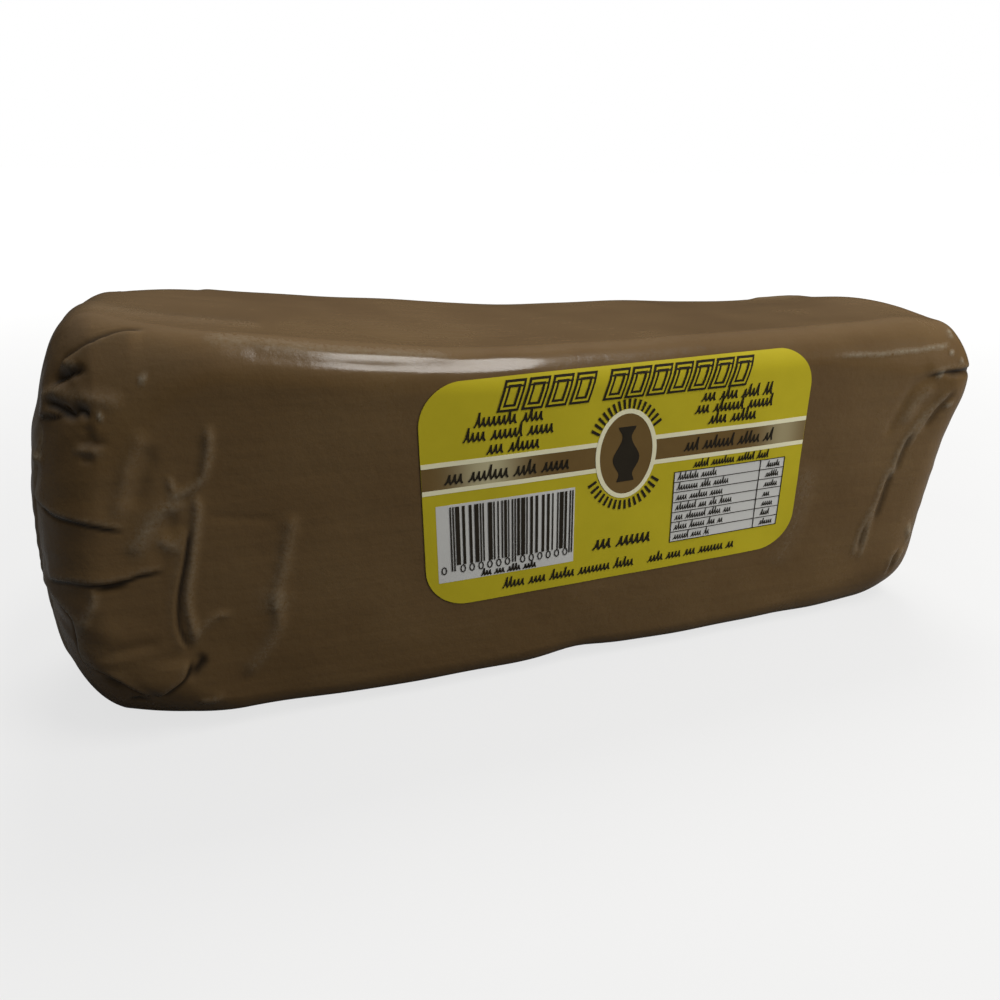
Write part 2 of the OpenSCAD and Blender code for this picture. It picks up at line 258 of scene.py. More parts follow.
      (73.9, -25.8, 13.5)]),
    ("groove", 0.4, 0.7, 0.0, [(78.5, -25.7, 36.4), (77.6, -25.8, 31.5), (76.9, -25.8, 27.1),
      (76.1, -25.8, 22.5)]),
    ("ridge", 0.3, 0.7, 0.5, [(75, -25.8, 28.6), (73.3, -25.8, 23.6), (72.4, -25.7, 19.5),
      (72.1, -25.7, 14)]),
    ("groove", 0.35, 0.7, 0.0, [(73.9, -25.8, 23.5), (73.4, -25.7, 20.5), (73.2, -25.7, 15.6)]),
    ("ridge", 0.5, 0.9, 1.0, [(86.3, -25.5, 22), (88.2, -24.8, 17.6), (87.8, -25.1, 15.2)]),
    ("ridge", 0.4, 0.8, 0.6, [(87.9, -25, 15.3), (86, -25.6, 12.4), (84.8, -25, 10)]),
    ("ridge", 0.3, 0.8, 0.5, [(86, -25.6, 15.6), (83.6, -26, 13.4), (83.2, -25.8, 10.1),
      (83, -25.4, 7.6)]),
    ("groove", 0.4, 0.8, 0.0, [(86.4, -25.7, 15.2), (84.7, -25.8, 12.8), (84.2, -25.7, 10.2),
      (84.6, -24.8, 7.4)]),
    ("ridge", 0.2, 2.5, 0.2, [(55, -25.5, 40), (54, -25.5, 26), (50, -25.5, 15)]),
    # back of both ends
    ("groove", 0.6, 1.8, 0.0, [(74, 25.4, 60), (77, 25.5, 48), (75, 25.5, 36), (79, 25.4, 22),
      (84, 24, 12)]),
    ("ridge", 0.4, 2.0, 0.4, [(70, 25.4, 55), (73, 25.5, 44), (71, 25.5, 33), (74, 25.5, 20)]),
    ("groove", 0.7, 1.8, 0.0, [(-86, 19, 64), (-80, 23.5, 57), (-76, 25.3, 44), (-79, 25.4, 30),
      (-77, 24, 18)]),
    ("ridge", 0.4, 2.0, 0.4, [(-70, 25.4, 58), (-67, 25.5, 46), (-68, 25.5, 32), (-63, 25.5, 18)]),
    ("groove", 0.4, 2.5, 0.0, [(-62, 20, 73), (-71, 17, 73.5), (-80, 13, 72)]),
    ("ridge", 0.4, 2.5, 0.2, [(66, 19, 68), (76, 16, 67.5), (86, 12, 65)]),
    # along the top
    ("ridge", 0.12, 1.2, 0.4, [(-64, -20.5, 71.2), (-50, -21.5, 69.5), (-38, -22, 68.2),
      (-22, -22, 67.3)]),
    ("groove", 0.15, 1.0, 0.0, [(-58, -22.3, 69), (-46, -23.2, 67.2), (-30, -23.6, 65.8),
      (-8, -23.5, 65.5)]),
    ("ridge", 0.3, 3.0, 0.1, [(-86, 2, 73.5), (-78, -6, 75.4), (-66, -10, 75.4), (-52, -11, 74)]),
]
PATH_STEPS = 6  # straight steps between two places of a crease
FADE_L = 3.0  # length over which a crease dies away at each end

SLOW_WAVES = 0.16  # height of the clay's slow waves, and of the smaller ones on them
SMALL_WAVES = 0.07
# Pleats at the left and the right end: their height, where they begin and how far on they are full
LEFT_PLEATS, LEFT_PLEATS_X, LEFT_PLEATS_REACH = 0.08, -70, 16
RIGHT_PLEATS, RIGHT_PLEATS_X, RIGHT_PLEATS_REACH = 0.05, 84, 9


def smooth_path(places):
    """A curve through the places: on each stretch a Catmull-Rom cubic, in PATH_STEPS steps."""
    p = np.array(places, float)
    p = np.concatenate([2 * p[:1] - p[1:2], p, 2 * p[-1:] - p[-2:-1]])
    t = np.linspace(0, 1, PATH_STEPS, endpoint=False)[:, None]
    runs = []
    for a, b, c, d in zip(p[:-3], p[1:-2], p[2:-1], p[3:]):
        runs.append(b + t * (c - a) / 2 + t**2 * (a - 2.5 * b + 2 * c - d / 2)
                    + t**3 * (1.5 * (b - c) + (d - a) / 2))
    return np.concatenate(runs + [p[-2:-1]])


def across(points, normals, path):
    """For each point: its distance from the path, positive on the path's left seen from outside, and
    its place along the path from 0 to 1. Distance out from the surface counts little, so that a path
    may run a little over or under it."""
    lengths = np.linalg.norm(np.diff(path, axis=0), axis=1)
    starts = np.concatenate([[0], np.cumsum(lengths)])
    best = np.full(len(points), 1e9)
    side = np.zeros(len(points))
    place = np.zeros(len(points))
    for a, b, length, start in zip(path[:-1], path[1:], lengths, starts):
        run = (b - a) / length
        t = np.clip((points - a) @ run, 0, length)
        away = points - a - t[:, None] * run
        away = away - 0.8 * normals * np.einsum("ij,ij->i", away, normals)[:, None]
        distance = np.linalg.norm(away, axis=1)
        closer = distance < best
        best = np.where(closer, distance, best)
        turned = np.einsum("ij,ij->i", away, np.cross(normals, run))
        side = np.where(closer, np.sign(turned), side)
        place = np.where(closer, (start + t) / starts[-1], place)
    return best * side, place


def crease_profile(kind, s, width):
    """Height, haze with painted sheen, and painted shade across a crease, each as a share, s millimetres
    from its line.

    A ridge is a bell curve, and a groove is one turned down. A lap is a soft step up to its left, with
    a narrow gutter at its foot, which fades away on the ply. A ridge's crest and the lap's raised side
    carry the haze with painted sheen; a groove's line and the lap's gutter carry the painted shade."""
    bell = np.exp(-((s / width) ** 2))
    if kind == "ridge":
        return bell, bell, 0 * s
    if kind == "groove":
        return -bell, 0 * s, bell
    step = 1 / (1 + np.exp(-np.clip(s / (0.22 * width), -30, 30)))
    gutter = np.exp(-(((s + 0.5 * width) / (0.6 * width)) ** 2))
    fade = np.exp(-np.maximum(s, 0) / (5 * width))
    return step * fade - 0.45 * gutter, np.exp(-(((s - width) / width) ** 2)), gutter


def relief(points, normals):
    """Height over the form, haze with painted sheen, and painted shade at each point: lumps, slow waves,
    the pleats that run round the ends like rays, and every crease. The shade is painted dark colour,
    fullest in narrow deep creases."""
    x, y, z = points.T
    height = np.zeros(len(points))
    for cx, cy, cz, radius, rise in LUMPS:
        height += rise * np.exp(-((x - cx) ** 2 + (y - cy) ** 2 + (z - cz) ** 2) / radius**2)
    height += SLOW_WAVES * np.sin(x / 8.5 + z / 21 + 0.6) * np.sin(y / 11 - x / 34 + z / 15 + 1.1)
    height += SMALL_WAVES * np.sin(x / 3.7 + y / 9) * np.sin(z / 5.3 + y / 6.1 + x / 17)
    turn = np.arctan2(z - BODY_H / 2, -1.4 * y)
    gathered = (LEFT_PLEATS * ease((LEFT_PLEATS_X - x) / LEFT_PLEATS_REACH)
                + RIGHT_PLEATS * ease((x - RIGHT_PLEATS_X) / RIGHT_PLEATS_REACH))
    rays = np.sin(29 * turn + 2.5 * np.sin(3 * turn + 1) + x / 5)
    height += gathered * rays * np.sin(11 * turn - x / 8 + 0.5)
    haze_and_sheen = np.zeros(len(points))
    shade = np.zeros(len(points))
    for kind, rise, width, mist_and_sheen, places in CREASES:
        path = smooth_path(places)
        fade = min(0.4, FADE_L / np.linalg.norm(np.diff(path, axis=0), axis=1).sum())
        reach = 12 * width + 4
        near = np.flatnonzero(np.all((points > path.min(0) - reach) & (points < path.max(0) + reach), 1))
        if not len(near):
            continue
        s, place = across(points[near], normals[near], path)
        ends = ease(place / fade) * ease((1 - place) / fade)
        up, mist_and_sheen_share, dark = crease_profile(kind, s, width)
        height[near] += rise * up * ends
        # Painted sheen goes into the haze, and painted shade, fullest where a crease is deep and narrow, into
        # the shade.
        haze_and_sheen[near] += mist_and_sheen * mist_and_sheen_share * ends
        shade[near] += dark * ends * ease(1.6 * rise / width - 0.3)
    return height, haze_and_sheen, np.clip(shade, 0, 1)


def grid_normals(points, closed=False):
    """Outward unit normals of a grid of points, from its two directions. A closed grid joins up along
    its second direction."""
    du = np.gradient(points, axis=0)
    if closed:
        dv = np.roll(points, -1, 1) - np.roll(points, 1, 1)
    else:
        dv = np.gradient(points, axis=1)
    n = np.cross(du, dv)
    n /= np.linalg.norm(n, axis=-1, keepdims=True) + 1e-12
    if np.mean(np.sum(n * (points - CENTRE), -1)) < 0:
        n = -n
    return n


def film_surface(q, closed=False):
    """Places, normals, haze with painted sheen, and painted shade of the film's outer surface at a grid of
    cube points.
    """
    form = rounded_bar(q)
    normals = grid_normals(form, closed)
    flat = form.reshape(-1, 3), normals.reshape(-1, 3)
    height, haze_and_sheen, shade = relief(*flat)
    places = (flat[0] + flat[1] * height[:, None]).reshape(form.shape)
    places[..., 2] = np.maximum(places[..., 2], 0)
    return places, grid_normals(places, closed), haze_and_sheen, shade


# ---------------------------------------------------------------------------------------------
# Making meshes
# ---------------------------------------------------------------------------------------------


def signed_volume(verts, faces):
    """Volume inside a closed mesh: the sum over its triangles of a . (b x c) / 6."""
    total = 0.0
    for face in faces:
        a = verts[face[:, 0]]
        for i in range(1, face.shape[1] - 1):
            b, c = verts[face[:, i]], verts[face[:, i + 1]]
            total += np.einsum("ij,ij->", a, np.cross(b, c)) / 6
    return total


RIM_ANGLE = math.radians(50)  # two faces that meet at more than this make a crisp edge


def add_piece(name, verts, faces, material, stands_for=(), attributes=None, uv=None, thin=True):
    """A mesh object on the bar's body. faces is a list of index arrays, one per number of corners. A thin
    piece keeps a crisp rim. stands_for names the CAD nodes that the piece replaces."""
    if signed_volume(verts, faces) < 0:
        faces = [face[:, ::-1] for face in faces]
    mesh = bpy.data.meshes.new(name)
    corners = np.concatenate([face.ravel() for face in faces]).astype(np.int32)
    sizes = np.concatenate([np.full(len(face), face.shape[1]) for face in faces])
    mesh.vertices.add(len(verts))
    mesh.vertices.foreach_set("co", (verts * MM).astype(np.float32).ravel())
    mesh.loops.add(len(corners))
    mesh.loops.foreach_set("vertex_index", corners)
    mesh.polygons.add(len(sizes))
    mesh.polygons.foreach_set("loop_start", np.concatenate([[0], np.cumsum(sizes)[:-1]]).astype(np.int32))
    mesh.update(calc_edges=True)
    mesh.validate()
    mesh.polygons.foreach_set("use_smooth", np.ones(len(sizes), bool))
    if thin:
        mesh.set_sharp_from_angle(angle=RIM_ANGLE)
    for key, values in (attributes or {}).items():
        mesh.attributes.new(key, "FLOAT", "POINT").data.foreach_set("value", values.astype(np.float32))
    if uv is not None:
        layer = mesh.uv_layers.new(name="UVMap")
        index = np.zeros(len(mesh.loops), np.int32)
        mesh.loops.foreach_get("vertex_index", index)
        layer.data.foreach_set("uv", uv[index].astype(np.float32).ravel())
    mesh.materials.append(material)
    piece = bpy.data.objects.new(name, mesh)
    bpy.context.scene.collection.objects.link(piece)
    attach(piece, BODY)
    if stands_for:
        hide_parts(*stands_for)


def slab(top, under):
    """A closed thin slab between two grids of the same shape, with a wall round the rim."""
    m, n = top.shape[:2]
    i = np.arange(m * n).reshape(m, n)
    quads = np.stack([i[:-1, :-1], i[1:, :-1], i[1:, 1:], i[:-1, 1:]], -1).reshape(-1, 4)
    rim = np.concatenate([i[0, :-1], i[:-1, -1], i[-1, :0:-1], i[:0:-1, 0]])
    after = np.roll(rim, -1)
    wall = np.stack([rim, after, after + m * n, rim + m * n], 1)
    verts = np.concatenate([top.reshape(-1, 3), under.reshape(-1, 3)])
    return verts, np.concatenate([quads, quads[:, ::-1] + m * n, wall])


def join(slabs):
    """Several slabs as one list of places and one of faces."""
    verts, faces, count = [], [], 0
    for v, f in slabs:
        if signed_volume(v, [f]) < 0:
            f = f[:, ::-1]
        verts.append(v)
        faces.append(f + count)
        count += len(v)
    return np.concatenate(verts), np.concatenate(faces)


def flat_on(places, normals, low, high):
    """A slab on the film, from low to high millimetres over its surface."""
    return slab(places + normals * high, places + normals * low)


# ---------------------------------------------------------------------------------------------
# Materials
# ---------------------------------------------------------------------------------------------


def node_group(name, inputs, outputs):
    """An empty shader group with float or vector inputs and float outputs."""
    group = bpy.data.node_groups.new(name, "ShaderNodeTree")
    for key, kind, value in inputs:
        socket = group.interface.new_socket(key, in_out="INPUT", socket_type=kind)
        if value is not None:
            socket.default_value = value
    for key in outputs:
        group.interface.new_socket(key, in_out="OUTPUT", socket_type="NodeSocketFloat")
    return group, group.nodes.new("NodeGroupInput"), group.nodes.new("NodeGroupOutput")


def link_noise(tree, vector, scale, detail, roughness=0.55, stretch=None):
    """A noise texture's factor on a vector, stretched by a mapping where stretch is given."""
    if stretch:
        mapping = tree.nodes.new("ShaderNodeMapping")
        mapping.inputs["Scale"].default_value = stretch
        tree.links.new(vector, mapping.inputs["Vector"])
        vector = mapping.outputs["Vector"]
    noise = tree.nodes.new("ShaderNodeTexNoise")
    noise.inputs["Detail"].default_value = detail
    noise.inputs["Roughness"].default_value = roughness
    if isinstance(scale, (int, float)):
        noise.inputs["Scale"].default_value = scale
    else:
        tree.links.new(scale, noise.inputs["Scale"])
    tree.links.new(vector, noise.inputs["Vector"])
    return noise.outputs["Fac"]


def combine(tree, operation, a, b, clamp=False):
    """A math node on two values, each a socket or a number."""
    node = tree.nodes.new("ShaderNodeMath")
    node.operation = operation
    node.use_clamp = clamp
    for socket, value in zip(node.inputs, (a, b)):
        if isinstance(value, (int, float)):
            socket.default_value = value
        else:
            tree.links.new(value, socket)
    return node.outputs["Value"]


def make_mottle():
    """Group: soft blotches of the clay and its fine grain, on a vector in metres."""
    group, given, gives = node_group(
        "Clay mottle", [("Vector", "NodeSocketVector", None), ("Scale", "NodeSocketFloat", 60.0)],
        ["Blotch", "Grain"])
    vector, scale = given.outputs["Vector"], given.outputs["Scale"]
    blotch = link_noise(group, vector, scale, 3)
    grain = link_noise(group, vector, combine(group, "MULTIPLY", scale, 30.0), 4, 0.7)
    group.links.new(blotch, gives.inputs["Blotch"])
    group.links.new(grain, gives.inputs["Grain"])
    return group


def make_wrinkle():
    """Group: height of the film's fine tension lines along the bar, and of its small dimples."""
    group, given, gives = node_group(
        "Film wrinkle", [("Vector", "NodeSocketVector", None), ("Lines", "NodeSocketFloat", 0.5)], ["Height"])
    vector = given.outputs["Vector"]
    lines = link_noise(group, vector, 260.0, 3, 0.5, (0.12, 1.0, 1.0))
    dimples = link_noise(group, vector, 420.0, 4, 0.6)
    lined = combine(group, "MULTIPLY", lines, given.outputs["Lines"])
    height = combine(group, "ADD", lined, combine(group, "MULTIPLY", dimples, 0.5))
    group.links.new(height, gives.inputs["Height"])
    return group


MOTTLE = make_mottle()
WRINKLE = make_wrinkle()


def new_material(name, roughness, specular=0.5, coat=0.0, coat_roughness=0.1):
    """A material's node tree with its Principled shader, and its Object coordinates."""
    material = bpy.data.materials.new(name)
    material.use_nodes = True
    tree = material.node_tree
    shader = tree.nodes["Principled BSDF"]
    shader.inputs["Roughness"].default_value = roughness
    shader.inputs["Specular IOR Level"].default_value = specular
    shader.inputs["Coat Weight"].default_value = coat
    shader.inputs["Coat Roughness"].default_value = coat_roughness
    where = tree.nodes.new("ShaderNodeTexCoord").outputs["Object"]
    return material, tree, shader, where


def place_group(tree, group, where, **values):
    """A shared group in a material, on its Object coordinates, with its own values."""
    node = tree.nodes.new("ShaderNodeGroup")
    node.node_tree = group
    tree.links.new(where, node.inputs["Vector"])
    for key, value in values.items():
        node.inputs[key].default_value = value
    return node


def blend_colours(tree, factor, a, b):
    """A colour mix by factor, which is a socket, where a and b are sockets or colours."""
    node = tree.nodes.new("ShaderNodeMix")
    node.data_type = "RGBA"
    tree.links.new(factor, node.inputs["Factor"])
    for key, value in ((6, a), (7, b)):
        if isinstance(value, tuple):
            node.inputs[key].default_value = (*value, 1)
        else:
            tree.links.new(value, node.inputs[key])
    return node.outputs[2]


def add_bump(tree, shader, height, strength, distance):
    """A bump of the given depth in metres into the shader's normal."""
    bump = tree.nodes.new("ShaderNodeBump")
    bump.inputs["Strength"].default_value = strength
    bump.inputs["Distance"].default_value = distance
    tree.links.new(height, bump.inputs["Height"])
    tree.links.new(bump.outputs["Normal"], shader.inputs["Normal"])


def attribute(tree, name):
    """A value stored on the mesh's points."""
    node = tree.nodes.new("ShaderNodeAttribute")
    node.attribute_name = name
    return node.outputs["Fac"]


CLAY_DARK = (0.096, 0.054, 0.021)
CLAY_LIGHT = (0.145, 0.090, 0.037)
# The pale haze colour is partly the film's own haze where it stands off the clay and partly painted sheen and
# glints.
HAZE_AND_SHEEN_COLOUR = (0.26, 0.225, 0.165)
# The near-black crease colour is painted shade for the depth of creases.
CREASE_PAINTED_SHADE = (0.012, 0.008, 0.005)
BRONZE_DARK = (0.14, 0.085, 0.028)
BRONZE_LIGHT = (0.17, 0.105, 0.035)
# How much of the haze, with its painted sheen, shows in the colour.
HAZE_AND_SHEEN_SHARE = 0.6  # how much of the haze shows, and the grain that speckles it: its foot and its gain
GRAIN_FOOT = 0.36
GRAIN_GAIN = 6.5
FILM_ROUGH = 0.17  # the film's least roughness
PRINT_ROUGH = 0.45
PRINT_GRAIN = 300.0


def film_material(name, veil):
    """Clear glossy film tight on brown clay: mottled clay, a grey veil where the film stands off it, which
    also paints sheen and glints on crests, and painted shade, near black, in the depth of a crease. veil
    is the haze that the film has everywhere."""
    material, tree, shader, where = new_material(name, 0.3, 0.1, 0.26, 0.13)
    mottle = place_group(tree, MOTTLE, where, Scale=45.0)
    wrinkle = place_group(tree, WRINKLE, where, Lines=0.8)
    clay = blend_colours(tree, mottle.outputs["Blotch"], CLAY_DARK, CLAY_LIGHT)
    haze_and_sheen = combine(tree, "ADD", attribute(tree, "haze_and_sheen"), veil)
    speckle = combine(tree, "SUBTRACT", mottle.outputs["Grain"], GRAIN_FOOT)
    speckle = combine(tree, "MULTIPLY", speckle, GRAIN_GAIN)
    patchy = combine(tree, "MULTIPLY", mottle.outputs["Blotch"], combine(tree, "ADD", speckle, 0.6))
    haze_and_sheen = combine(tree, "MULTIPLY", combine(tree, "MULTIPLY", haze_and_sheen, patchy), HAZE_AND_SHEEN_SHARE, clamp=True)
    # Painted sheen: the haze pales the clay colour towards grey, partly the film's own veil and partly sheen
    # and glints.
    hazed_and_sheened = blend_colours(tree, haze_and_sheen, clay, HAZE_AND_SHEEN_COLOUR)
    # Painted shade: the shade attribute darkens the colour towards near black in the depth of creases.
    shade = combine(tree, "MULTIPLY", attribute(tree, "shade"), 0.9, clamp=True)
    tree.links.new(blend_colours(tree, shade, hazed_and_sheened, CREASE_PAINTED_SHADE), shader.inputs["Base Color"])
    rough = combine(tree, "MULTIPLY", mottle.outputs["Blotch"], 0.16)
    rough = combine(tree, "ADD", rough, FILM_ROUGH)
    rough = combine(tree, "ADD", rough, combine(tree, "MULTIPLY", haze_and_sheen, 0.3))
    tree.links.new(rough, shader.inputs["Roughness"])
    add_bump(tree, shader, wrinkle.outputs["Height"], 0.6, 0.0004)
    return material


def clay_material():
    """Damp natural clay: mottled brown, matt, with a fine grain."""
    material, tree, shader, where = new_material("Brown clay", 0.75, 0.3)
    mottle = place_group(tree, MOTTLE, where, Scale=70.0)
    colour = blend_colours(tree, mottle.outputs["Blotch"], CLAY_DARK, CLAY_LIGHT)
    tree.links.new(colour, shader.inputs["Base Color"])
    add_bump(tree, shader, mottle.outputs["Grain"], 0.5, 0.0003)
    return material


def tape_material():
    """Clear glossy tape: mostly see-through, with a faint pale cast that varies a little."""
    material, tree, shader, where = new_material("Clear tape", 0.15, 0.5, 0.3, 0.08)
    mottle = place_group(tree, MOTTLE, where, Scale=120.0)
    wrinkle = place_group(tree, WRINKLE, where, Lines=1.0)
    cast = blend_colours(tree, mottle.outputs["Blotch"], (0.42, 0.38, 0.28), (0.55, 0.50, 0.38))
    tree.links.new(cast, shader.inputs["Base Color"])
    cloudy = combine(tree, "MULTIPLY", mottle.outputs["Grain"], 0.2)
    tree.links.new(combine(tree, "ADD", cloudy, 0.1), shader.inputs["Alpha"])
    add_bump(tree, shader, wrinkle.outputs["Height"], 0.4, 0.0003)
    return material


def printed_material(name, colour, other):
    """Printed paper: a colour that wanders slightly to another, with a faint fibre in the surface."""
    material, tree, shader, where = new_material(name, PRINT_ROUGH, 0.2)
    mottle = place_group(tree, MOTTLE, where, Scale=PRINT_GRAIN)
    tint = blend_colours(tree, mottle.outputs["Blotch"], colour, other)
    tree.links.new(tint, shader.inputs["Base Color"])
    worn = combine(tree, "MULTIPLY", mottle.outputs["Grain"], 0.2)
    tree.links.new(combine(tree, "ADD", worn, PRINT_ROUGH - 0.1), shader.inputs["Roughness"])
    add_bump(tree, shader, mottle.outputs["Grain"], 0.15, 0.00005)
    return material


def band_material():
    """The label's band: brown, with a pale gold glow where the piece's own map runs to 1."""
    material, tree, shader, where = new_material("Bronze band", 0.4, 0.2)
    mottle = place_group(tree, MOTTLE, where, Scale=400.0)
    glow = tree.nodes.new("ShaderNodeSeparateXYZ")
    layer = tree.nodes.new("ShaderNodeUVMap")
    layer.uv_map = "UVMap"
    tree.links.new(layer.outputs["UV"], glow.inputs["Vector"])
    brown = blend_colours(tree, mottle.outputs["Blotch"], BRONZE_DARK, BRONZE_LIGHT)
    gold = blend_colours(tree, glow.outputs["X"], brown, (0.50, 0.45, 0.27))
    tree.links.new(gold, shader.inputs["Base Color"])
    add_bump(tree, shader, mottle.outputs["Grain"], 0.15, 0.00005)
    return material


FILM = film_material("Film over clay", 0.04)
PLY = film_material("Folded film", 0.3)
CLAY = clay_material()
TAPE = tape_material()
PAPER_YELLOW = printed_material("Yellow label paper", (0.475, 0.395, 0.018), (0.53, 0.44, 0.022))
CREAM = printed_material("Cream print", (0.78, 0.75, 0.52), (0.84, 0.80, 0.56))
PANEL = printed_material("White print", (0.60, 0.60, 0.58), (0.64, 0.64, 0.62))
INK = printed_material("Dark ink", (0.018, 0.014, 0.010), (0.030, 0.024, 0.015))
BRONZE = printed_material("Bronze print", BRONZE_DARK, BRONZE_LIGHT)
BAND = band_material()


# ---------------------------------------------------------------------------------------------
# Film sleeve and clay
# ---------------------------------------------------------------------------------------------


def spread(knots, counts):
    """Values from the first knot to the last, with counts[i] even steps between knots i and i + 1."""
    runs = [np.linspace(a, b, n, endpoint=False) for a, b, n in zip(knots[:-1], knots[1:], counts)]
    return np.concatenate(runs + [[knots[-1]]])


def ring_points(along_counts, end_rings, side_counts):
    """Cube points as rings round the bar: rings that grow on the left face, rings along the bar and
    rings that shrink on the right face, closer together near the edge. end_rings are their numbers on
    the left and the right, and side_counts the points on front, top, back and underside."""
    front, back, under = (np.linspace(-1, 1, n, endpoint=False) for n in side_counts[:1] + side_counts[2:])
    top = spread([-1, -0.3, 1], (side_counts[1] * 4 // 7, side_counts[1] * 3 // 7))[:-1]
    ring = np.concatenate([
        np.stack([-np.ones_like(front), front], 1), np.stack([top, np.ones_like(top)], 1),
        np.stack([np.ones_like(back), -back], 1), np.stack([-under, -np.ones_like(under)], 1)])
    left, right = (spread([0.03, 0.5, 1], (n // 5, n - n // 5))[:-1] for n in end_rings)
    xs = spread([-1, -0.45, 0.6, 1], along_counts)
    sizes = np.concatenate([left, np.ones(len(xs)), right[::-1]])
    xs = np.concatenate([-np.ones(len(left)), xs, np.ones(len(right))])
    yz = sizes[:, None, None] * ring[None]
    return np.concatenate([np.broadcast_to(xs[:, None, None], yz.shape[:2] + (1,)), yz], -1)


def closed_tube(places):
    """Faces and places of rings joined into a tube, each end closed by a fan round its middle."""
    m, n = places.shape[:2]
    i = np.arange(m * n).reshape(m, n)
    j = np.roll(i, -1, 1)
    quads = np.stack([i[:-1], i[1:], j[1:], j[:-1]], -1).reshape(-1, 4)
    middles = places[[0, -1]].mean(1)
    first = np.stack([np.full(n, m * n), i[0], j[0]], 1)
    last = np.stack([np.full(n, m * n + 1), j[-1], i[-1]], 1)
    return np.concatenate([places.reshape(-1, 3), middles]), [quads, np.concatenate([first, last])]


def make_film():
    """The film sleeve: the closed outer surface of the film, with its folds."""
    q = ring_points((140, 45, 62), (46, 28), (132, 63, 56, 30))
    places, _, haze_and_sheen, shade = film_surface(q, closed=True)
    verts, faces = closed_tube(places)
    ends = np.zeros(2)
    # Haze with painted sheen, and painted crease shade, as values on the mesh's points.
    marks = {"haze_and_sheen": np.concatenate([haze_and_sheen, ends]), "shade": np.concatenate([shade, ends])}
    add_piece("film_wrap", verts, faces, FILM, ["film_sleeve"], marks, thin=False)


CLAY_INSET = 1.6  # the clay's distance inside the plain form, enough to clear the film's dents


def make_clay():
    """The clay inside the film: the same form without folds, CLAY_INSET smaller all round."""
    q = ring_points((30, 30, 20), (10, 10), (24, 14, 24, 16))
    form = rounded_bar(q)
    verts, faces = closed_tube(form - grid_normals(form, closed=True) * CLAY_INSET)
    add_piece("clay_block", verts, faces, CLAY, ["clay_bar"], thin=False)


# ---------------------------------------------------------------------------------------------
# Folded ends, back seam and tapes
# ---------------------------------------------------------------------------------------------


def end_points(side, u, v):
    """Cube points over an end, side -1 for left and 1 for right. u runs from -1 at the front to 1 at
    the back and v from -1 to 1 upwards; beyond 1 the point folds round onto the neighbouring side."""
    over = np.maximum(np.abs(u) - 1, 0) * HALF_D + np.maximum(np.abs(v) - 1, 0) * BODY_H / 2
    return np.stack([side * (1 - over / HALF_L), np.clip(u, -1, 1), np.clip(v, -1, 1)], -1)


def four_sided(a, b, c, d, m, n):
    """An m by n grid between four corners, a to b along the root and d to c along the free edge."""
    a, b, c, d = (np.array(p, float) for p in (a, b, c, d))
    t, s = (g[..., None] for g in np.meshgrid(np.linspace(0, 1, m), np.linspace(0, 1, n), indexing="ij"))
    grid = (a * (1 - s) + b * s) * (1 - t) + (d * (1 - s) + c * s) * t
    return grid[..., 0], grid[..., 1], t[..., 0], s[..., 0]


FILM_PLY = 0.09  # thickness of one ply
PLY_GRID = (70, 70)
PLY_SUNK = 0.04  # how far a ply's root lies under the film's surface
PLY_RIPPLE = 0.1  # height of a ply's waves, and how far its free edge stands off
TAPE_FILM = 0.06  # thickness of the tape
TAPE_LIFT = 0.66  # lift of an end's tape where it lies on all the plies
TAPE_DROP = 0.22  # how much lower it lies where it has left them

# The plies of an end from the inside out: name, corners in cube units, lift over the film and waves
PLIES = (
    ("front_tuck", ((-1.0, -0.84), (-1.0, 0.84), (0.1, 0.5), (0.1, -0.5)), 0.04, 3),
    ("back_tuck", ((1.0, 0.84), (1.0, -0.84), (-0.02, -0.5), (-0.02, 0.5)), 0.1, 4),
    ("low_flap", ((-0.92, -0.99), (0.92, -0.99), (0.6, 0.2), (-0.6, 0.2)), 0.24, 3),
    ("top_flap", ((0.92, 0.98), (-0.92, 0.98), (-0.58, -0.28), (0.58, -0.28)), 0.38, 5),
)


def make_ply(node, side, corners, lift, waves):
    """One ply over an end: lifted by lift over the film, sunk into it at its root, gently waved, and
    standing off a little more at its free edge."""
    u, v, t, s = four_sided(*corners, *PLY_GRID)
    places, normals, haze_and_sheen, shade = film_surface(end_points(side, u, v))
    ripple = 0.5 + 0.5 * np.sin(waves * s * math.pi + 2.5 * t) * np.sin(waves * 0.6 * t * math.pi + 3 * s)
    sides = ease(s / 0.04 + 0.25) * ease((1 - s) / 0.04 + 0.25)
    height = (lift + PLY_RIPPLE * ripple) * ease(t / 0.2) * sides
    height = height + PLY_RIPPLE * t**8 - PLY_SUNK
    high = places + normals * height[..., None]
    verts, quads = slab(high, high - normals * FILM_PLY)
    # Haze with painted sheen on the ply's waves and along its free edge, and the film's painted crease shade
    # at half strength.
    mist_and_sheen = np.clip(0.5 * ripple + t**12 + haze_and_sheen.reshape(t.shape), 0, 1.5).ravel()
    marks = {"haze_and_sheen": np.tile(mist_and_sheen, 2), "shade": np.tile(0.5 * shade, 2)}
    add_piece(f"{node}_film", verts, [quads], PLY, [node], marks)


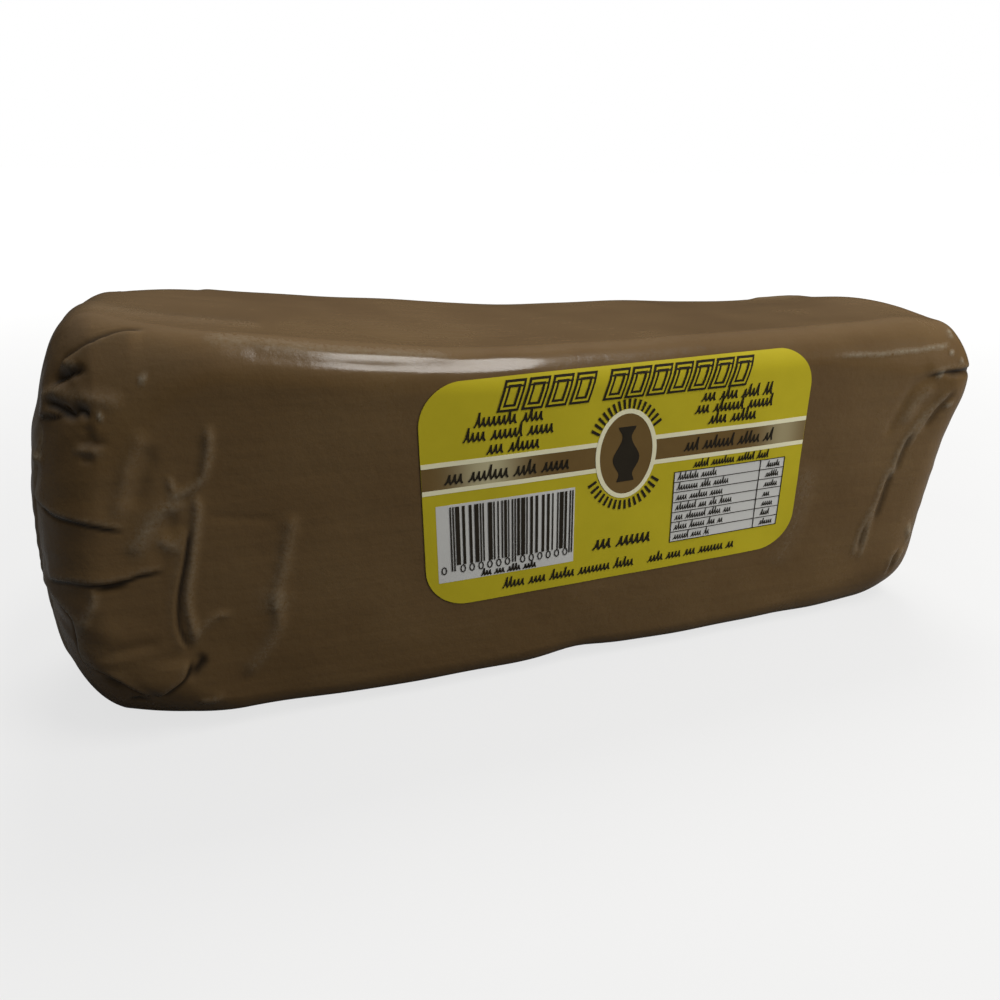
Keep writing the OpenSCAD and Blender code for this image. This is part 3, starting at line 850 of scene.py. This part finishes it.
def make_end(side, word):
    """The folded end: two tucks, the lower ply, the upper ply and a piece of tape over its edge."""
    for part, corners, lift, waves in PLIES:
        make_ply(f"{word}_{part}", side, corners, lift, waves)
    low, size = node_box(f"{word}_end_tape")
    half_w = size[1] / 2 / HALF_D
    v_low, v_high = ((z - BODY_H / 2) / (BODY_H / 2) for z in (low[2], low[2] + size[2]))
    u, v, t, s = four_sided((half_w, v_high), (-half_w, v_high), (-half_w, v_low), (half_w, v_low), 60, 30)
    places, normals, _, _ = film_surface(end_points(side, u, v))
    height = TAPE_LIFT - TAPE_DROP * ease((t - 0.62) / 0.16) + 0.03 * np.sin(9 * t) * np.sin(5 * s)
    high = places + normals * height[..., None]
    verts, quads = slab(high, high - normals * TAPE_FILM)
    add_piece(f"{word}_end_tape_strip", verts, [quads], TAPE, [f"{word}_end_tape"])


def on_side(face, x, z):
    """Cube points on the front (face -1) or the back (face 1) whose form lies at x and z."""
    q = np.stack([x / HALF_L, np.full_like(x, face), 2 * z / BODY_H - 1], -1)
    for _ in range(12):
        form = rounded_bar(q)
        q[..., 0] = np.clip(q[..., 0] + (x - form[..., 0]) / HALF_L, -1, 1)
        q[..., 2] = np.clip(q[..., 2] + (z - form[..., 2]) * 2 / BODY_H, -1, 1)
    return q


def even_grid(low, high, steps):
    """Grids of x and z between two corners, with the given numbers of points."""
    return np.meshgrid(np.linspace(low[0], high[0], steps[0]), np.linspace(low[1], high[1], steps[1]),
                       indexing="ij")


SEAM_TAPES = 3  # how many tapes cross the back seam, and their lift over the film
SEAM_TAPE_LIFT = 0.38


def make_back_seam():
    """The strip where the film laps over itself along the back, and the tapes across it."""
    low, size = node_box("back_overlap")
    x, z = even_grid((low[0], low[2]), (low[0] + size[0], low[2] + size[2]), (200, 40))
    places, normals, haze_and_sheen, shade = film_surface(on_side(1, x, z))
    t = (z - low[2]) / size[2]
    edge = ease((x - low[0]) / 6) * ease((low[0] + size[0] - x) / 6)
    height = (0.12 + 0.16 * np.sin(x / 6.5) ** 2 * (1 - t)) * edge * ease((1 - t) / 0.25) - 0.03
    high = places + normals * height[..., None]
    verts, quads = slab(high, high - normals * FILM_PLY)
    # Haze with painted sheen on the lower part of the overlap, and the film's painted crease shade.
    mist_and_sheen = (0.45 * (1 - t) ** 3 * edge + haze_and_sheen.reshape(t.shape)).ravel()
    marks = {"haze_and_sheen": np.tile(mist_and_sheen, 2), "shade": np.tile(shade, 2)}
    add_piece("back_overlap_film", verts, [quads], PLY, ["back_overlap"], marks)

    low, size = node_box("seam_tapes")
    width = node_box("left_end_tape")[1][1]
    strips = []
    for left in np.linspace(low[0], low[0] + size[0] - width, SEAM_TAPES):
        x, z = even_grid((left, low[2]), (left + width, low[2] + size[2]), (24, 50))
        places, normals, _, _ = film_surface(on_side(1, x, z))
        strips.append(flat_on(places, normals, SEAM_TAPE_LIFT, SEAM_TAPE_LIFT + TAPE_FILM))
    verts, quads = join(strips)
    add_piece("seam_tape_strips", verts, [quads], TAPE, ["seam_tapes"])


# ---------------------------------------------------------------------------------------------
# Label
# ---------------------------------------------------------------------------------------------

LABEL_W, LABEL_H, LABEL_R = 82.0, 44.0, 8.0
LABEL_TURN = math.radians(1.3)
LABEL_CORNER, LABEL_BOX = node_box("front_label")
LABEL_X, LABEL_Z = (LABEL_CORNER + LABEL_BOX / 2)[[0, 2]]
GRID_STEP = 0.5  # step of the grid that the label and its print lie on, and its margin
GRID_MARGIN = 1.0
PAPER_T = 0.15  # thickness of the label
PAPER_SUNK = 0.03  # how far its underside lies under the film's surface
INK_T = 0.02  # step between one printed layer and the next
RECTANGLE_STEP = 2.0
FILLED_GRID = (16, 40)  # points across a filled shape and up it
RING_STEPS = 96
STROKE_POINTS = 4  # points along one stroke of a pen


def label_grid():
    """Places and normals on the film under an even grid that covers the label."""
    half_a, half_b = LABEL_W / 2 + GRID_MARGIN, LABEL_H / 2 + GRID_MARGIN
    steps = int(2 * half_a / GRID_STEP) + 1, int(2 * half_b / GRID_STEP) + 1
    a, b = even_grid((-half_a, -half_b), (half_a, half_b), steps)
    x = LABEL_X + a * math.cos(LABEL_TURN) - b * math.sin(LABEL_TURN)
    z = LABEL_Z + a * math.sin(LABEL_TURN) + b * math.cos(LABEL_TURN)
    places, normals, _, _ = film_surface(on_side(-1, x, z))
    return a[:, 0], b[0], places, normals


LABEL_A, LABEL_B, LABEL_PLACES, LABEL_NORMALS = label_grid()


def on_label(a, b):
    """Places and normals on the film under label coordinates a (right) and b (up) from its middle, mixed
    from the four nearest points of the label's grid."""
    i = (a - LABEL_A[0]) / (LABEL_A[1] - LABEL_A[0])
    j = (b - LABEL_B[0]) / (LABEL_B[1] - LABEL_B[0])
    i = np.clip(i, 0, len(LABEL_A) - 1.001)
    j = np.clip(j, 0, len(LABEL_B) - 1.001)
    i0, j0 = i.astype(int), j.astype(int)
    s, t = (i - i0)[..., None], (j - j0)[..., None]

    def between(grid):
        """The grid's four nearest values, mixed first along a and then along b."""
        low = mix(grid[i0, j0], grid[i0 + 1, j0], s)
        return mix(low, mix(grid[i0, j0 + 1], grid[i0 + 1, j0 + 1], s), t)

    return between(LABEL_PLACES), between(LABEL_NORMALS)


def printed(a, b, layer):
    """A slab of print on the label, in the given layer over the paper."""
    places, normals = on_label(a, b)
    high = PAPER_T + INK_T * layer
    return flat_on(places, normals, high - INK_T * 1.5, high)


def rectangle(a0, a1, b0, b1, layer):
    """A printed rectangle, with a point about every RECTANGLE_STEP."""
    steps = [max(2, int(abs(d) / RECTANGLE_STEP) + 2) for d in (a1 - a0, b1 - b0)]
    a, b = even_grid((a0, b0), (a1, b1), steps)
    return printed(a, b, layer)


def filled(half_width, b0, b1, layer, middle):
    """A printed shape symmetric about a = middle, half_width(b) wide on each side."""
    s, b = even_grid((-1, b0), (1, b1), FILLED_GRID)
    return printed(middle + s * half_width(b), b, layer)


def ring(middle, radii, width, layer):
    """A printed oval ring, as two half rings so that each is a simple grid."""
    halves = []
    for start in (0, math.pi):
        angle, inward = even_grid((start, 0.0), (start + math.pi, width), (RING_STEPS // 2, 2))
        a = middle[0] + (radii[0] - inward) * np.cos(angle)
        b = middle[1] + (radii[1] - inward) * np.sin(angle)
        halves.append(printed(a, b, layer))
    return halves


def rounded_half_width(b):
    """Half the label's width at height b: straight sides with quarter circles at the corners."""
    over = np.clip(np.abs(b) - (LABEL_H / 2 - LABEL_R), 0, LABEL_R)
    return LABEL_W / 2 - LABEL_R + np.sqrt(LABEL_R**2 - over**2)


BAND_LOW, BAND_HIGH = 2.0, 7.2  # the band's lower and upper edge
LINE_W = 0.9  # width of the cream lines
DISC = (-0.3, 4.5)  # the disc's middle, and its radii across and up
DISC_R = (6.6, 9.1)
BARCODE = (-38.6, -11.0, -16.8, -0.8)  # left, right, lower and upper edge of the two white panels
TABLE = (10.8, 36.9, -16.3, -0.8)
TABLE_ROWS = 7
TABLE_SPLIT = 31.0  # where the table's last column begins
THIN = 0.16  # width of the table's rules
# Gold glows along the band: middle, width and strength
GLOWS = ((-28.5, 5.5, 1.0), (35.5, 4.5, 0.55))
# Lines of small writing: left end, foot, length and height
WRITING = (
    (-30.8, 13.6, 15.0, 2.4), (-32.9, 11.0, 18.5, 2.4), (-28.6, 8.3, 10.5, 2.4),
    (15.6, 13.5, 16.0, 2.3), (14.4, 11.1, 17.5, 2.3), (17.6, 8.7, 11.0, 2.3),
    (-36.6, 3.4, 25.0, 2.6), (12.6, 3.6, 20.5, 2.4), (15.0, -0.2, 18.5, 1.6),
    (-6.6, -15.0, 12.8, 3.0), (-25.8, -20.0, 29.0, 2.1), (6.0, -20.0, 20.5, 2.0),
)
RAY_RADII = (7.0, 9.4)  # the rays round the disc: where they begin, and one ray's length and width
RAY_L, RAY_PITCH, RAY_W = 1.5, 1.1, 0.45
POT_REACH = 5.6  # the pot's half height, and how its width is scaled
POT_SCALE = 7.4
HEADING_LOW, HEADING_TALL = 16.4, 4.3
HEADING_W, HEADING_CORE_W = 1.3, 0.38  # widths of the heading's dark strokes and of their pale cores
MODULE = 0.264  # width of the barcode's narrowest bar


def make_paper():
    """The yellow sticker, a little proud of the film."""
    corner = 0.5 * np.pi * np.linspace(0, 1, 18)
    ends = LABEL_H / 2 - LABEL_R + LABEL_R * np.sin(corner)
    b_rows = np.concatenate([-ends[::-1], np.linspace(-1, 1, 40)[1:-1] * (LABEL_H / 2 - LABEL_R), ends])
    s, b = np.meshgrid(np.linspace(-1, 1, 110), b_rows, indexing="ij")
    places, normals = on_label(s * rounded_half_width(b), b)
    verts, quads = flat_on(places, normals, -PAPER_SUNK, PAPER_T)
    add_piece("label_paper", verts, [quads], PAPER_YELLOW, ["front_label"])


def make_band():
    """The band across the label, its gold glow and the cream lines along it and round the disc."""
    reach = LABEL_W / 2 - 0.05
    a, b = even_grid((-reach, BAND_LOW), (reach, BAND_HIGH), (120, 4))
    verts, quads = printed(a, b, 1)
    glow = sum(strength * np.exp(-(((a - middle) / width) ** 2)) for middle, width, strength in GLOWS)
    uv = np.tile(np.stack([glow.ravel(), np.zeros(glow.size)], 1), (2, 1))
    add_piece("label_band", verts, [quads], BAND, uv=uv)

    lines = []
    for b in (BAND_LOW, BAND_HIGH):
        gap = DISC_R[0] * math.sqrt(1 - ((b - DISC[1]) / DISC_R[1]) ** 2) - LINE_W
        for a0, a1 in ((-reach, DISC[0] - gap), (DISC[0] + gap, reach)):
            lines.append(rectangle(a0, a1, b - LINE_W / 2, b + LINE_W / 2, 2))
    lines += ring(DISC, DISC_R, LINE_W, 4)
    verts, quads = join(lines)
    add_piece("label_cream_lines", verts, [quads], CREAM)

    inner = [r - LINE_W / 2 for r in DISC_R]
    disc = filled(lambda b: inner[0] * np.sqrt(np.clip(1 - ((b - DISC[1]) / inner[1]) ** 2, 0, 1)),
                  DISC[1] - inner[1], DISC[1] + inner[1], 3, DISC[0])
    verts, quads = join([disc])
    add_piece("label_disc", verts, [quads], BRONZE)


def pot_half_width(b):
    """A plain clay pot: foot, full belly, narrow neck and a flared lip, for b from 0 to 1."""
    belly = 0.30 * np.exp(-(((b - 0.42) / 0.26) ** 2))
    foot = 0.14 * np.exp(-(((b - 0.0) / 0.10) ** 2))
    lip = 0.16 * np.exp(-(((b - 1.0) / 0.12) ** 2))
    return 0.09 + belly + foot + lip


def make_panels():
    """The white panels under the barcode and the table."""
    verts, quads = join([rectangle(*BARCODE, 1), rectangle(*TABLE, 1)])
    add_piece("label_panels", verts, [quads], PANEL)


def straight(a0, b0, slant):
    """Carries places on a line of writing to the label: along a from a0, up from b0, leaning right."""
    return lambda p: np.stack([a0 + p[..., 0] + slant * p[..., 1], b0 + p[..., 1]], -1)


def curved(start, radii, upright):
    """Carries places on a line of writing round the disc, from an angle on, over it or under it."""
    def carry(p):
        """Length along the line becomes an angle, and height becomes radius."""
        way = -1 if upright else 1
        out = p[..., 1] if upright else 1.9 - p[..., 1]
        angle = start + way * p[..., 0] / np.mean(radii)
        return np.stack([DISC[0] + (radii[0] + out) * np.cos(angle),
                         DISC[1] + (radii[1] + out) * np.sin(angle)], -1)
    return carry


def stroke_corners(p, q, width):
    """The four corners of a stroke from p to q."""
    p, q = np.array(p, float), np.array(q, float)
    along = (q - p) / np.linalg.norm(q - p) * width / 2
    side = np.array([-along[1], along[0]])
    return np.array([p - along - side, p - along + side, q + along + side, q + along - side])


def squiggle(random, carry, length, tall, width):
    """Strokes of a wavy line in word-long runs, in place of writing. Each wave is a cosine hump that
    leans back at its foot; now and then one reaches tall or dips under the line."""
    pitch = 0.30 * tall + 0.75 * width
    t = np.linspace(0, 1, 7)
    strokes = []
    x = 0.0
    while x + 2 * pitch < length:
        count = min(int(random.integers(3, 9)), int((length - x) / pitch))
        for _ in range(count):
            chance = random.random()
            head = tall if chance < 0.2 else 0.6 * tall
            foot = -0.25 * tall if chance > 0.88 else 0.0
            run = x + pitch * (t + 0.12 * np.sin(2 * math.pi * t))
            rise = foot * np.sin(math.pi * t) ** 2 + (head - foot) * (1 - np.cos(2 * math.pi * t)) / 2
            places = np.stack([run, rise], 1)
            strokes += [carry(stroke_corners(p, q, width)) for p, q in zip(places[:-1], places[1:])]
            x += pitch
        x += 1.3 * pitch
    return strokes


def ovals(carry, length, tall, pitch, width):
    """Strokes of a row of small upright ovals."""
    angles = np.linspace(0, 2 * math.pi, 9)
    strokes = []
    for x in np.arange(0, length, pitch):
        places = np.stack([x + 0.3 * tall * (1 + np.cos(angles)), 0.5 * tall * (1 + np.sin(angles))], 1)
        strokes += [carry(stroke_corners(p, q, width)) for p, q in zip(places[:-1], places[1:])]
    return strokes


def dashes(carry, length, tall, pitch, width):
    """Strokes of a row of plain upright dashes."""
    return [carry(stroke_corners((x, 0), (x, tall), width)) for x in np.arange(0, length, pitch)]


def stroke_slabs(strokes, layer):
    """All strokes as slabs of print, each a grid of STROKE_POINTS by 2 points."""
    corners = np.array(strokes)
    turned = np.cross(corners[:, 1] - corners[:, 0], corners[:, 3] - corners[:, 0]) < 0
    corners[turned] = corners[turned][:, [1, 0, 3, 2]]
    t = np.linspace(0, 1, STROKE_POINTS)[None, :, None, None]
    ab = mix(corners[:, None, :2], corners[:, None, [3, 2]], t)
    places, normals = on_label(ab[..., 0], ab[..., 1])
    high = PAPER_T + INK_T * layer
    return [flat_on(top, normal, high - 1.5 * INK_T, high) for top, normal in zip(places, normals)]


def heading(left, right, count):
    """Outlines of a row of slanted blocks, in place of a heading, each as four strokes."""
    pitch = (right - left) / count
    wide = 0.60 * pitch
    corners = [(0, 0), (wide, 0), (wide, HEADING_TALL), (0, HEADING_TALL), (0, 0)]
    outlines = []
    for i in range(count):
        carry = straight(left + i * pitch, HEADING_LOW, 0.35)
        outlines += [(carry, pair) for pair in zip(corners[:-1], corners[1:])]
    return outlines


def bars(random):
    """The barcode's bars as strokes: guard pairs at both ends and in the middle, and random bars."""
    left, right = BARCODE[0] + 2.6, BARCODE[1] - 0.3
    low, high = BARCODE[2] + 3.4, BARCODE[3] - 0.5
    middle = (left + right) / 2
    strokes = []
    for a in (left, middle - MODULE, right - 3 * MODULE):
        for shift in (0, 2 * MODULE):
            strokes.append((a + shift, a + shift + MODULE, low - 1.2, high))
    for start, end in ((left + 4 * MODULE, middle - 3 * MODULE), (middle + 3 * MODULE, right - 5 * MODULE)):
        a = start
        while a < end:
            bar, gap = (MODULE * n for n in random.choice([1, 1, 1, 2, 2, 3], 2))
            strokes.append((a, min(a + bar, end), low, high))
            a += bar + gap
    return [np.array([(a, b0), (c, b0), (c, b1), (a, b1)]) for a, c, b0, b1 in strokes]


def make_marks():
    """All the dark print: barcode, table rules, the pot, and wavy lines in place of writing."""
    random = np.random.default_rng(7)
    strokes = bars(random)
    for a, length in ((0.7, 0.5), (4.4, 10.4), (16.4, 10.4)):
        strokes += ovals(straight(BARCODE[0] + a, BARCODE[2] + 1.8, 0.0), length, 1.5, 1.78, 0.2)
    strokes += squiggle(random, straight(BARCODE[0] + 8.5, BARCODE[2] + 0.4, 0.15), 11.5, 1.3, 0.3)

    row = (TABLE[3] - TABLE[2]) / TABLE_ROWS
    for i in range(TABLE_ROWS + 1):
        b = TABLE[2] + row * i
        strokes.append(stroke_corners((TABLE[0], b), (TABLE[1], b), THIN))
        if i < TABLE_ROWS:
            long = 8.0 + 6.0 * random.random()
            strokes += squiggle(random, straight(TABLE[0] + 0.8, b + 0.5, 0.2), long, 1.5, 0.17)
            strokes += squiggle(random, straight(TABLE_SPLIT + 1.6, b + 0.5, 0.2), 3.2, 1.3, 0.17)
    for a in (TABLE[0], TABLE_SPLIT, TABLE[1]):
        strokes.append(stroke_corners((a, TABLE[2]), (a, TABLE[3]), THIN))

    for a, b, length, tall in WRITING:
        strokes += squiggle(random, straight(a, b, 0.22), length, tall, 0.13 * tall + 0.02)
    for start, upright, length in ((150, True, 17.2), (210, False, 17.6)):
        carry = curved(math.radians(start), RAY_RADII, upright)
        strokes += dashes(carry, length, RAY_L, RAY_PITCH, RAY_W)

    blocks = heading(-25.8, -7.2, 4) + heading(-5.0, 26.4, 7)
    strokes += [carry(stroke_corners(p, q, HEADING_W)) for carry, (p, q) in blocks]
    slabs = stroke_slabs(strokes, 5)
    pot_low, pot_high = DISC[1] - POT_REACH, DISC[1] + POT_REACH
    slabs.append(filled(lambda b: POT_SCALE * pot_half_width((b - pot_low) / (pot_high - pot_low)),
                        pot_low, pot_high, 5, DISC[0]))
    verts, quads = join(slabs)
    add_piece("label_print", verts, [quads], INK)

    cores = [carry(stroke_corners(p, q, HEADING_CORE_W)) for carry, (p, q) in blocks]
    verts, quads = join(stroke_slabs(cores, 6))
    add_piece("label_heading_cores", verts, [quads], PAPER_YELLOW)


# ---------------------------------------------------------------------------------------------
# Stage, light and camera
# ---------------------------------------------------------------------------------------------

CAMERA_PLACE = (-58.7, -153.5, 97.3)
CAMERA_YAW, CAMERA_PITCH, CAMERA_ROLL = 19.0, 22.9, -0.55
FOCAL = 0.786  # of the frame's width
SENSOR = 36.0
FLOOR_REACH = 20.0  # metres from the middle to the floor's edge
LAMP_COLOUR = (1.0, 0.985, 0.95)
# Softboxes: name, place, the point it is turned to and its two sizes, all in metres, then its power in
# watts and whether gloss mirrors it
SOFTBOXES = (
    ("overhead", (0.27, -0.29, 0.90), (-0.02, -0.024, 0.066), (0.14, 0.4), 4.0, True),
    ("from behind", (0.25, 0.50, 0.90), (0.0, 0.0, 0.07), (0.6, 0.4), 7.4, False),
    ("right front", (0.30, -0.19, 0.13), (0.06, -0.02, 0.03), (0.15, 0.15), 0.7, False),
)


def facing(right, up, ahead, place):
    """The matrix of a camera or lamp at a place: its own +X right, +Y up and -Z ahead."""
    matrix = Matrix.Identity(4)
    for i in range(3):
        matrix[i][0], matrix[i][1], matrix[i][2], matrix[i][3] = right[i], up[i], -ahead[i], place[i]
    return matrix


def map_range(tree, value, from_min, from_max, to_min, to_max, kind="LINEAR"):
    """A value carried from one range to another, held within it."""
    node = tree.nodes.new("ShaderNodeMapRange")
    node.interpolation_type = kind
    limits = (("From Min", from_min), ("From Max", from_max), ("To Min", to_min), ("To Max", to_max))
    for key, limit in limits:
        node.inputs[key].default_value = limit
    tree.links.new(value, node.inputs["Value"])
    return node.outputs["Result"]


def make_camera():
    """The camera looks down on the label side from the front left: turned by yaw from the +Y axis
    towards +X, tipped down by pitch and rolled a little about its own axis."""
    yaw, pitch, roll = (math.radians(v) for v in (CAMERA_YAW, CAMERA_PITCH, CAMERA_ROLL))
    ahead = np.array([math.sin(yaw) * math.cos(pitch), math.cos(yaw) * math.cos(pitch), -math.sin(pitch)])
    right = np.array([math.cos(yaw), -math.sin(yaw), 0.0])
    down = np.cross(ahead, right)
    cos, sin = math.cos(roll), math.sin(roll)
    right, down = right * cos + down * sin, down * cos - right * sin
    data = bpy.data.cameras.new("camera")
    data.sensor_width = SENSOR
    data.lens = FOCAL * SENSOR
    data.clip_start = 0.01
    camera = bpy.data.objects.new("camera", data)
    camera.matrix_world = facing(right, -down, ahead, [v * MM for v in CAMERA_PLACE])
    bpy.context.scene.collection.objects.link(camera)
    bpy.context.scene.camera = camera


def make_floor():
    """A wide pale floor. Only the camera sees it at its full brightness, so that it throws little light
    up at the bar's sides."""
    mesh = bpy.data.meshes.new("floor")
    signs = ((-1, -1), (1, -1), (1, 1), (-1, 1))
    mesh.from_pydata([(a * FLOOR_REACH, b * FLOOR_REACH, 0) for a, b in signs], [], [(0, 1, 2, 3)])
    material, tree, shader, where = new_material("Pale floor", 0.9, 0.0)
    mottle = place_group(tree, MOTTLE, where, Scale=20.0)
    tone = blend_colours(tree, mottle.outputs["Blotch"], (0.12, 0.12, 0.12), (0.13, 0.13, 0.13))
    tree.links.new(tone, shader.inputs["Base Color"])
    seen = tree.nodes.new("ShaderNodeLightPath").outputs["Is Camera Ray"]
    away = tree.nodes.new("ShaderNodeVectorMath")
    away.operation = "LENGTH"
    tree.links.new(where, away.inputs[0])
    paler = map_range(tree, away.outputs["Value"], 0.15, 0.8, 0.72, 1.0)
    tree.links.new(combine(tree, "MULTIPLY", seen, paler), shader.inputs["Emission Color"])
    shader.inputs["Emission Strength"].default_value = 1.0
    mesh.materials.append(material)
    floor = bpy.data.objects.new("floor", mesh)
    bpy.context.scene.collection.objects.link(floor)


def add_softbox(name, place, aim, size, power, mirrored):
    """A rectangular soft light at a place, turned towards a point, both in metres. Glossy surfaces show
    it only where mirrored is set."""
    data = bpy.data.lights.new(name, "AREA")
    data.shape = "RECTANGLE"
    data.size, data.size_y = size
    data.energy = power
    data.color = LAMP_COLOUR
    lamp = bpy.data.objects.new(name, data)
    ahead = np.array(aim, float) - np.array(place, float)
    ahead /= np.linalg.norm(ahead)
    right = np.cross(ahead, (0, 1, 0))
    right /= np.linalg.norm(right)
    up = np.cross(right, ahead)
    lamp.matrix_world = facing(right, up, ahead, place)
    lamp.visible_glossy = mirrored
    bpy.context.scene.collection.objects.link(lamp)


def make_light():
    """A dome that is bright overhead and dim near the horizon, a softbox above the bar, one behind it and
    a small one at its right front. The camera itself sees the dome plain and pale."""
    for softbox in SOFTBOXES:
        add_softbox(*softbox)
    world = bpy.data.worlds.new("studio")
    bpy.context.scene.world = world
    world.use_nodes = True
    tree = world.node_tree
    background = tree.nodes["Background"]
    split = tree.nodes.new("ShaderNodeSeparateXYZ")
    tree.links.new(tree.nodes.new("ShaderNodeTexCoord").outputs["Generated"], split.inputs["Vector"])
    dome = map_range(tree, split.outputs["Z"], 0.15, 0.95, 0.04, 0.40, "SMOOTHSTEP")
    seen = tree.nodes.new("ShaderNodeMix")
    tree.links.new(tree.nodes.new("ShaderNodeLightPath").outputs["Is Camera Ray"], seen.inputs["Factor"])
    tree.links.new(dome, seen.inputs[2])
    seen.inputs[3].default_value = 1.0
    background.inputs["Color"].default_value = (1, 1, 1, 1)
    tree.links.new(seen.outputs[0], background.inputs["Strength"])
    bpy.context.scene.view_settings.view_transform = "Standard"


make_camera()
make_film()
make_clay()
make_end(-1, "left")
make_end(1, "right")
make_back_seam()
make_paper()
make_band()
make_panels()
make_marks()
make_floor()
make_light()
